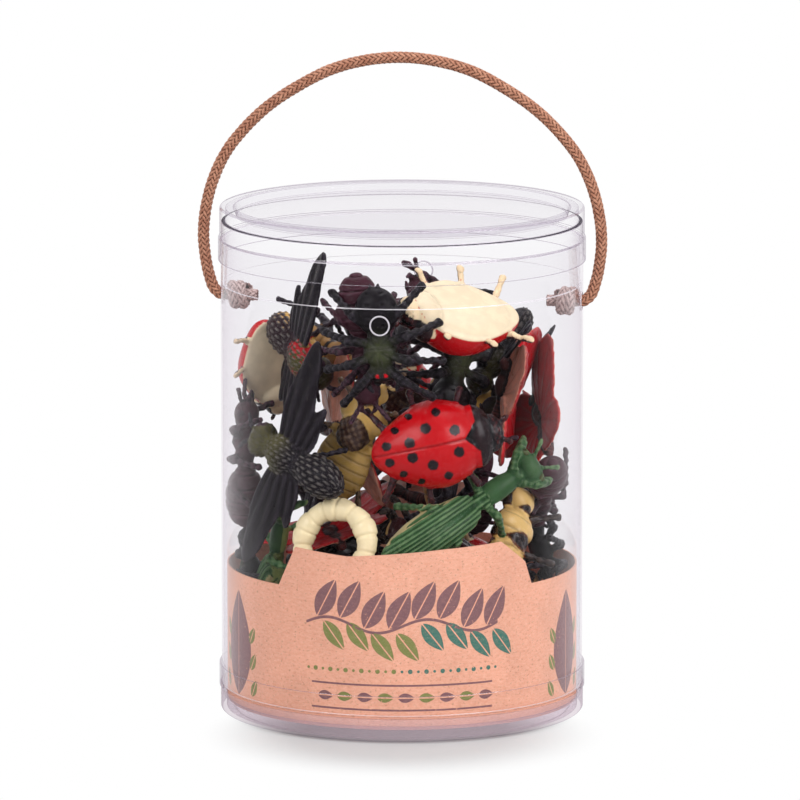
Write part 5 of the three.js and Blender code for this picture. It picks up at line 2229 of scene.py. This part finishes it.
@dataclass
class Pile:
    """All the toys in the tub, each laid as its solid lies, and more of the same in the gaps."""

    nodes: dict[str, Object]
    tries: int = 700
    spread: Pair = (sqrt(2), 1.533751168755204)
    cloud: int = 2500
    touches: int = 320
    seed: int = 5
    samples: int = 70
    keep: int = 8
    rounds: int = 14
    extra_voxel: float = 0.58
    extra_cloud: int = 3500
    extra_samples: int = 90
    batches: int = 50
    batch: int = 260
    enough: int = 60
    depths: Pair = (-0.6, 0.95)
    edge_limit: float = 0.45
    finalists: int = 5
    push: int = 14
    drop: int = 12
    room: Room = field(default_factory=Room)
    casts: dict[tuple[Kind, Coat, bool], Mesh] = field(default_factory=dict)

    def __post_init__(self) -> None:
        """Makes the two vinyls."""
        self.satin = SoftVinyl("soft_vinyl_satin", 0.34, 0.0, 0.1, 0.06, 0.17).make()
        self.shiny = SoftVinyl("soft_vinyl_lacquered", 0.26, 0.14, 0.14, 0.0, 0.06).make()

    def cast_of(self, kind: Kind, coat: Coat, extra: bool) -> Mesh:
        """The mesh of a kind of toy, made once, with fewer faces for the extra ones."""
        if (kind, coat, extra) not in self.casts:
            toy = kind.value(voxel=self.extra_voxel) if extra else kind.value()
            mesh = toy.cast(coat)
            mesh.materials.append(self.shiny if toy.glossy else self.satin)
            self.casts[kind, coat, extra] = mesh
        return self.casts[kind, coat, extra]

    def turns(self) -> list[Array]:
        """Rotations on a double spiral, which spreads them evenly. The second number of the spread is
        the root of x to the fourth = x + 4."""
        found = []
        for k in range(self.tries):
            share = (k + 0.5) / self.tries
            a, b = (2 * pi * (k + 0.5) / pace for pace in self.spread)
            low, high = sqrt(share), sqrt(1 - share)
            turn = (high * cos(b), low * sin(a), low * cos(a), high * sin(b))
            found.append(np.array(Quaternion(turn).to_matrix()))
        return found

    def surface(self, mesh: Mesh) -> Array:
        """Points spread over a solid's surface.

        Args:
            mesh: The solid's mesh.

        Returns:
            The points in millimetres.
        """
        mesh.calc_loop_triangles()
        corners = np.array([v.co for v in mesh.vertices]) / MM
        tris = corners[np.array([t.vertices for t in mesh.loop_triangles])]
        areas = np.linalg.norm(np.cross(tris[:, 1] - tris[:, 0], tris[:, 2] - tris[:, 0]), axis=1)
        draw = np.random.default_rng(self.seed)
        chosen = tris[draw.choice(len(tris), self.touches, p=areas / areas.sum())]
        a, b = draw.random((2, self.touches, 1))
        swap = a + b > 1
        a, b = np.where(swap, 1 - a, a), np.where(swap, 1 - b, b)
        return chosen[:, 0] * (1 - a - b) + chosen[:, 1] * a + chosen[:, 2] * b

    def lie(self, node: Object, mesh: Mesh) -> tuple[Matrix, float]:
        """Finds how a solid lies, by turning the toy until it covers it.

        Args:
            node: The solid's object.
            mesh: The toy's mesh in millimetres.

        Returns:
            The toy's place in the tub, in metres, and the mean distance that is left in millimetres.
        """
        cloud = points_of(mesh)
        cloud = cloud[:: max(1, len(cloud) // self.cloud)]
        tree = near_tree(cloud)
        points = self.surface(node.data)
        middle, home = points.mean(axis=0), cloud.mean(axis=0)
        few = points[: self.samples] - middle
        turns = self.turns()
        ranked = sorted(
            (sum(tree.find(p)[2] for p in few @ turn + home), k) for k, turn in enumerate(turns)
        )
        best = None
        for _, k in ranked[: self.keep]:
            turn, shift = turns[k], home - middle @ turns[k]
            for _ in range(self.rounds):
                local = points @ turn + shift
                near = np.array([tree.find(p)[0] for p in local])
                a, b = points.mean(axis=0), near.mean(axis=0)
                u, _, v = np.linalg.svd((points - a).T @ (near - b))
                flip = np.diag([1, 1, np.sign(np.linalg.det(u @ v))])
                turn = u @ flip @ v
                shift = b - a @ turn
            left = float(np.mean([tree.find(p)[2] for p in points @ turn + shift]))
            if best is None or left < best[0]:
                best = (left, turn, shift)
        left, turn, shift = best
        return placed(turn, -(turn @ shift)), left

    def build(self) -> None:
        """Casts every toy and lays it where its solid lies, then fills gaps that show."""
        for node, coat in TOYS.items():
            kind = Kind[node.split("_")[0].upper()]
            source = self.cast_of(kind, coat, False)
            place, left = self.lie(self.nodes[node], source)
            LOG.info("%s lies within %.2f mm of its solid", node, left)
            self.lay(f"toy_{node}", source, place, (node,))
        for number, extra in enumerate(EXTRAS):
            source = self.cast_of(extra.kind, extra.coat, True)
            place = self.gap(source, extra, np.random.default_rng(number))
            if place is None:
                LOG.info("no gap for %s %d", extra.kind.name, number)
                continue
            name = f"toy_more_{number:02d}_{extra.kind.name.lower()}"
            self.lay(name, source, place, ())

    def lay(self, name: str, source: Mesh, place: Matrix, nodes: tuple[str, ...]) -> None:
        """Puts a copy of a toy into the tub.

        Args:
            name: The piece's name.
            source: The toy's mesh in millimetres.
            place: Its place in metres.
            nodes: The nodes that it stands for.
        """
        mesh = source.copy()
        mesh.name = name
        mesh.transform(place)
        self.room.put(points_of(mesh) / MM)
        hand_over(object_of(name, mesh), Body.TUB, nodes)

    def gap(self, source: Mesh, extra: Extra, draw: np.random.Generator) -> Matrix | None:
        """Finds a free place for one more toy, where it hides most of what is still empty.

        Args:
            source: The toy's mesh in millimetres.
            extra: The toy's kind, size and side.
            draw: The random numbers.

        Returns:
            The toy's place in metres, or None.
        """
        side = extra.side
        cloud = points_of(source) * extra.size
        cloud = cloud[:: max(1, len(cloud) // self.extra_cloud)]
        few = cloud[:: len(cloud) // self.extra_samples]
        turned = radians(side.value)
        right = np.array([cos(turned), sin(turned), 0])
        towards = np.array([right[1], -right[0], 0])
        bare = self.room.empty(side)
        left, right_end, low, high = extra.zone
        zone = (bare > np.array([left, low])) & (bare < np.array([right_end, high]))
        bare = bare[zone.all(axis=1)]
        if not len(bare):
            return None
        rise = radians(self.room.rise_deg)
        found = []
        for _ in range(self.batches):
            if len(found) > self.enough:
                break
            spins = draw.normal(size=(self.batch, 4))
            turns = np.array([Quaternion(q).normalized().to_matrix() for q in spins])
            aim = bare[draw.integers(len(bare), size=self.batch)]
            wall = np.sqrt(np.maximum(self.room.radius**2 - aim[:, 0] ** 2, 0))
            depth = wall * draw.uniform(*self.depths, self.batch)
            height = (aim[:, 1:] + depth[:, None] * sin(rise)) / cos(rise)
            middle = aim[:, :1] * right + depth[:, None] * towards + height * np.array([0, 0, 1])
            fits = self.room.fits(np.einsum("bij,pj->bpi", turns, few) + middle[:, None])
            if extra.kind.value.edge_on:
                fits &= np.abs(turns[:, :, 2] @ towards) < self.edge_limit
            for k in np.flatnonzero(fits):
                points = cloud @ turns[k].T + middle[k]
                if self.room.fits(points):
                    found.append((self.room.gain(points, side), turns[k], middle[k], points))
        if not found:
            return None
        found.sort(key=lambda entry: -entry[0])
        best = None
        for _, turn, middle, points in found[: self.finalists]:
            moved = self.room.slid(points, towards, self.push)
            moved = moved + self.room.slid(points + moved, np.array([0, 0, -1.0]), self.drop)
            score = self.room.gain(points + moved, side)
            if best is None or score > best[0]:
                best = (score, turn, middle + moved)
        return placed(*best[1:], extra.size)


def main() -> None:
    """Builds the stage and every piece of the tub."""
    logging.basicConfig(level=logging.INFO, format="%(message)s")
    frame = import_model()
    Studio().build()
    CordHandle().build()
    ClearTub().build()
    KraftBand().build()
    Pile(frame["nodes"]).build()


if __name__ == "__main__":
    main()
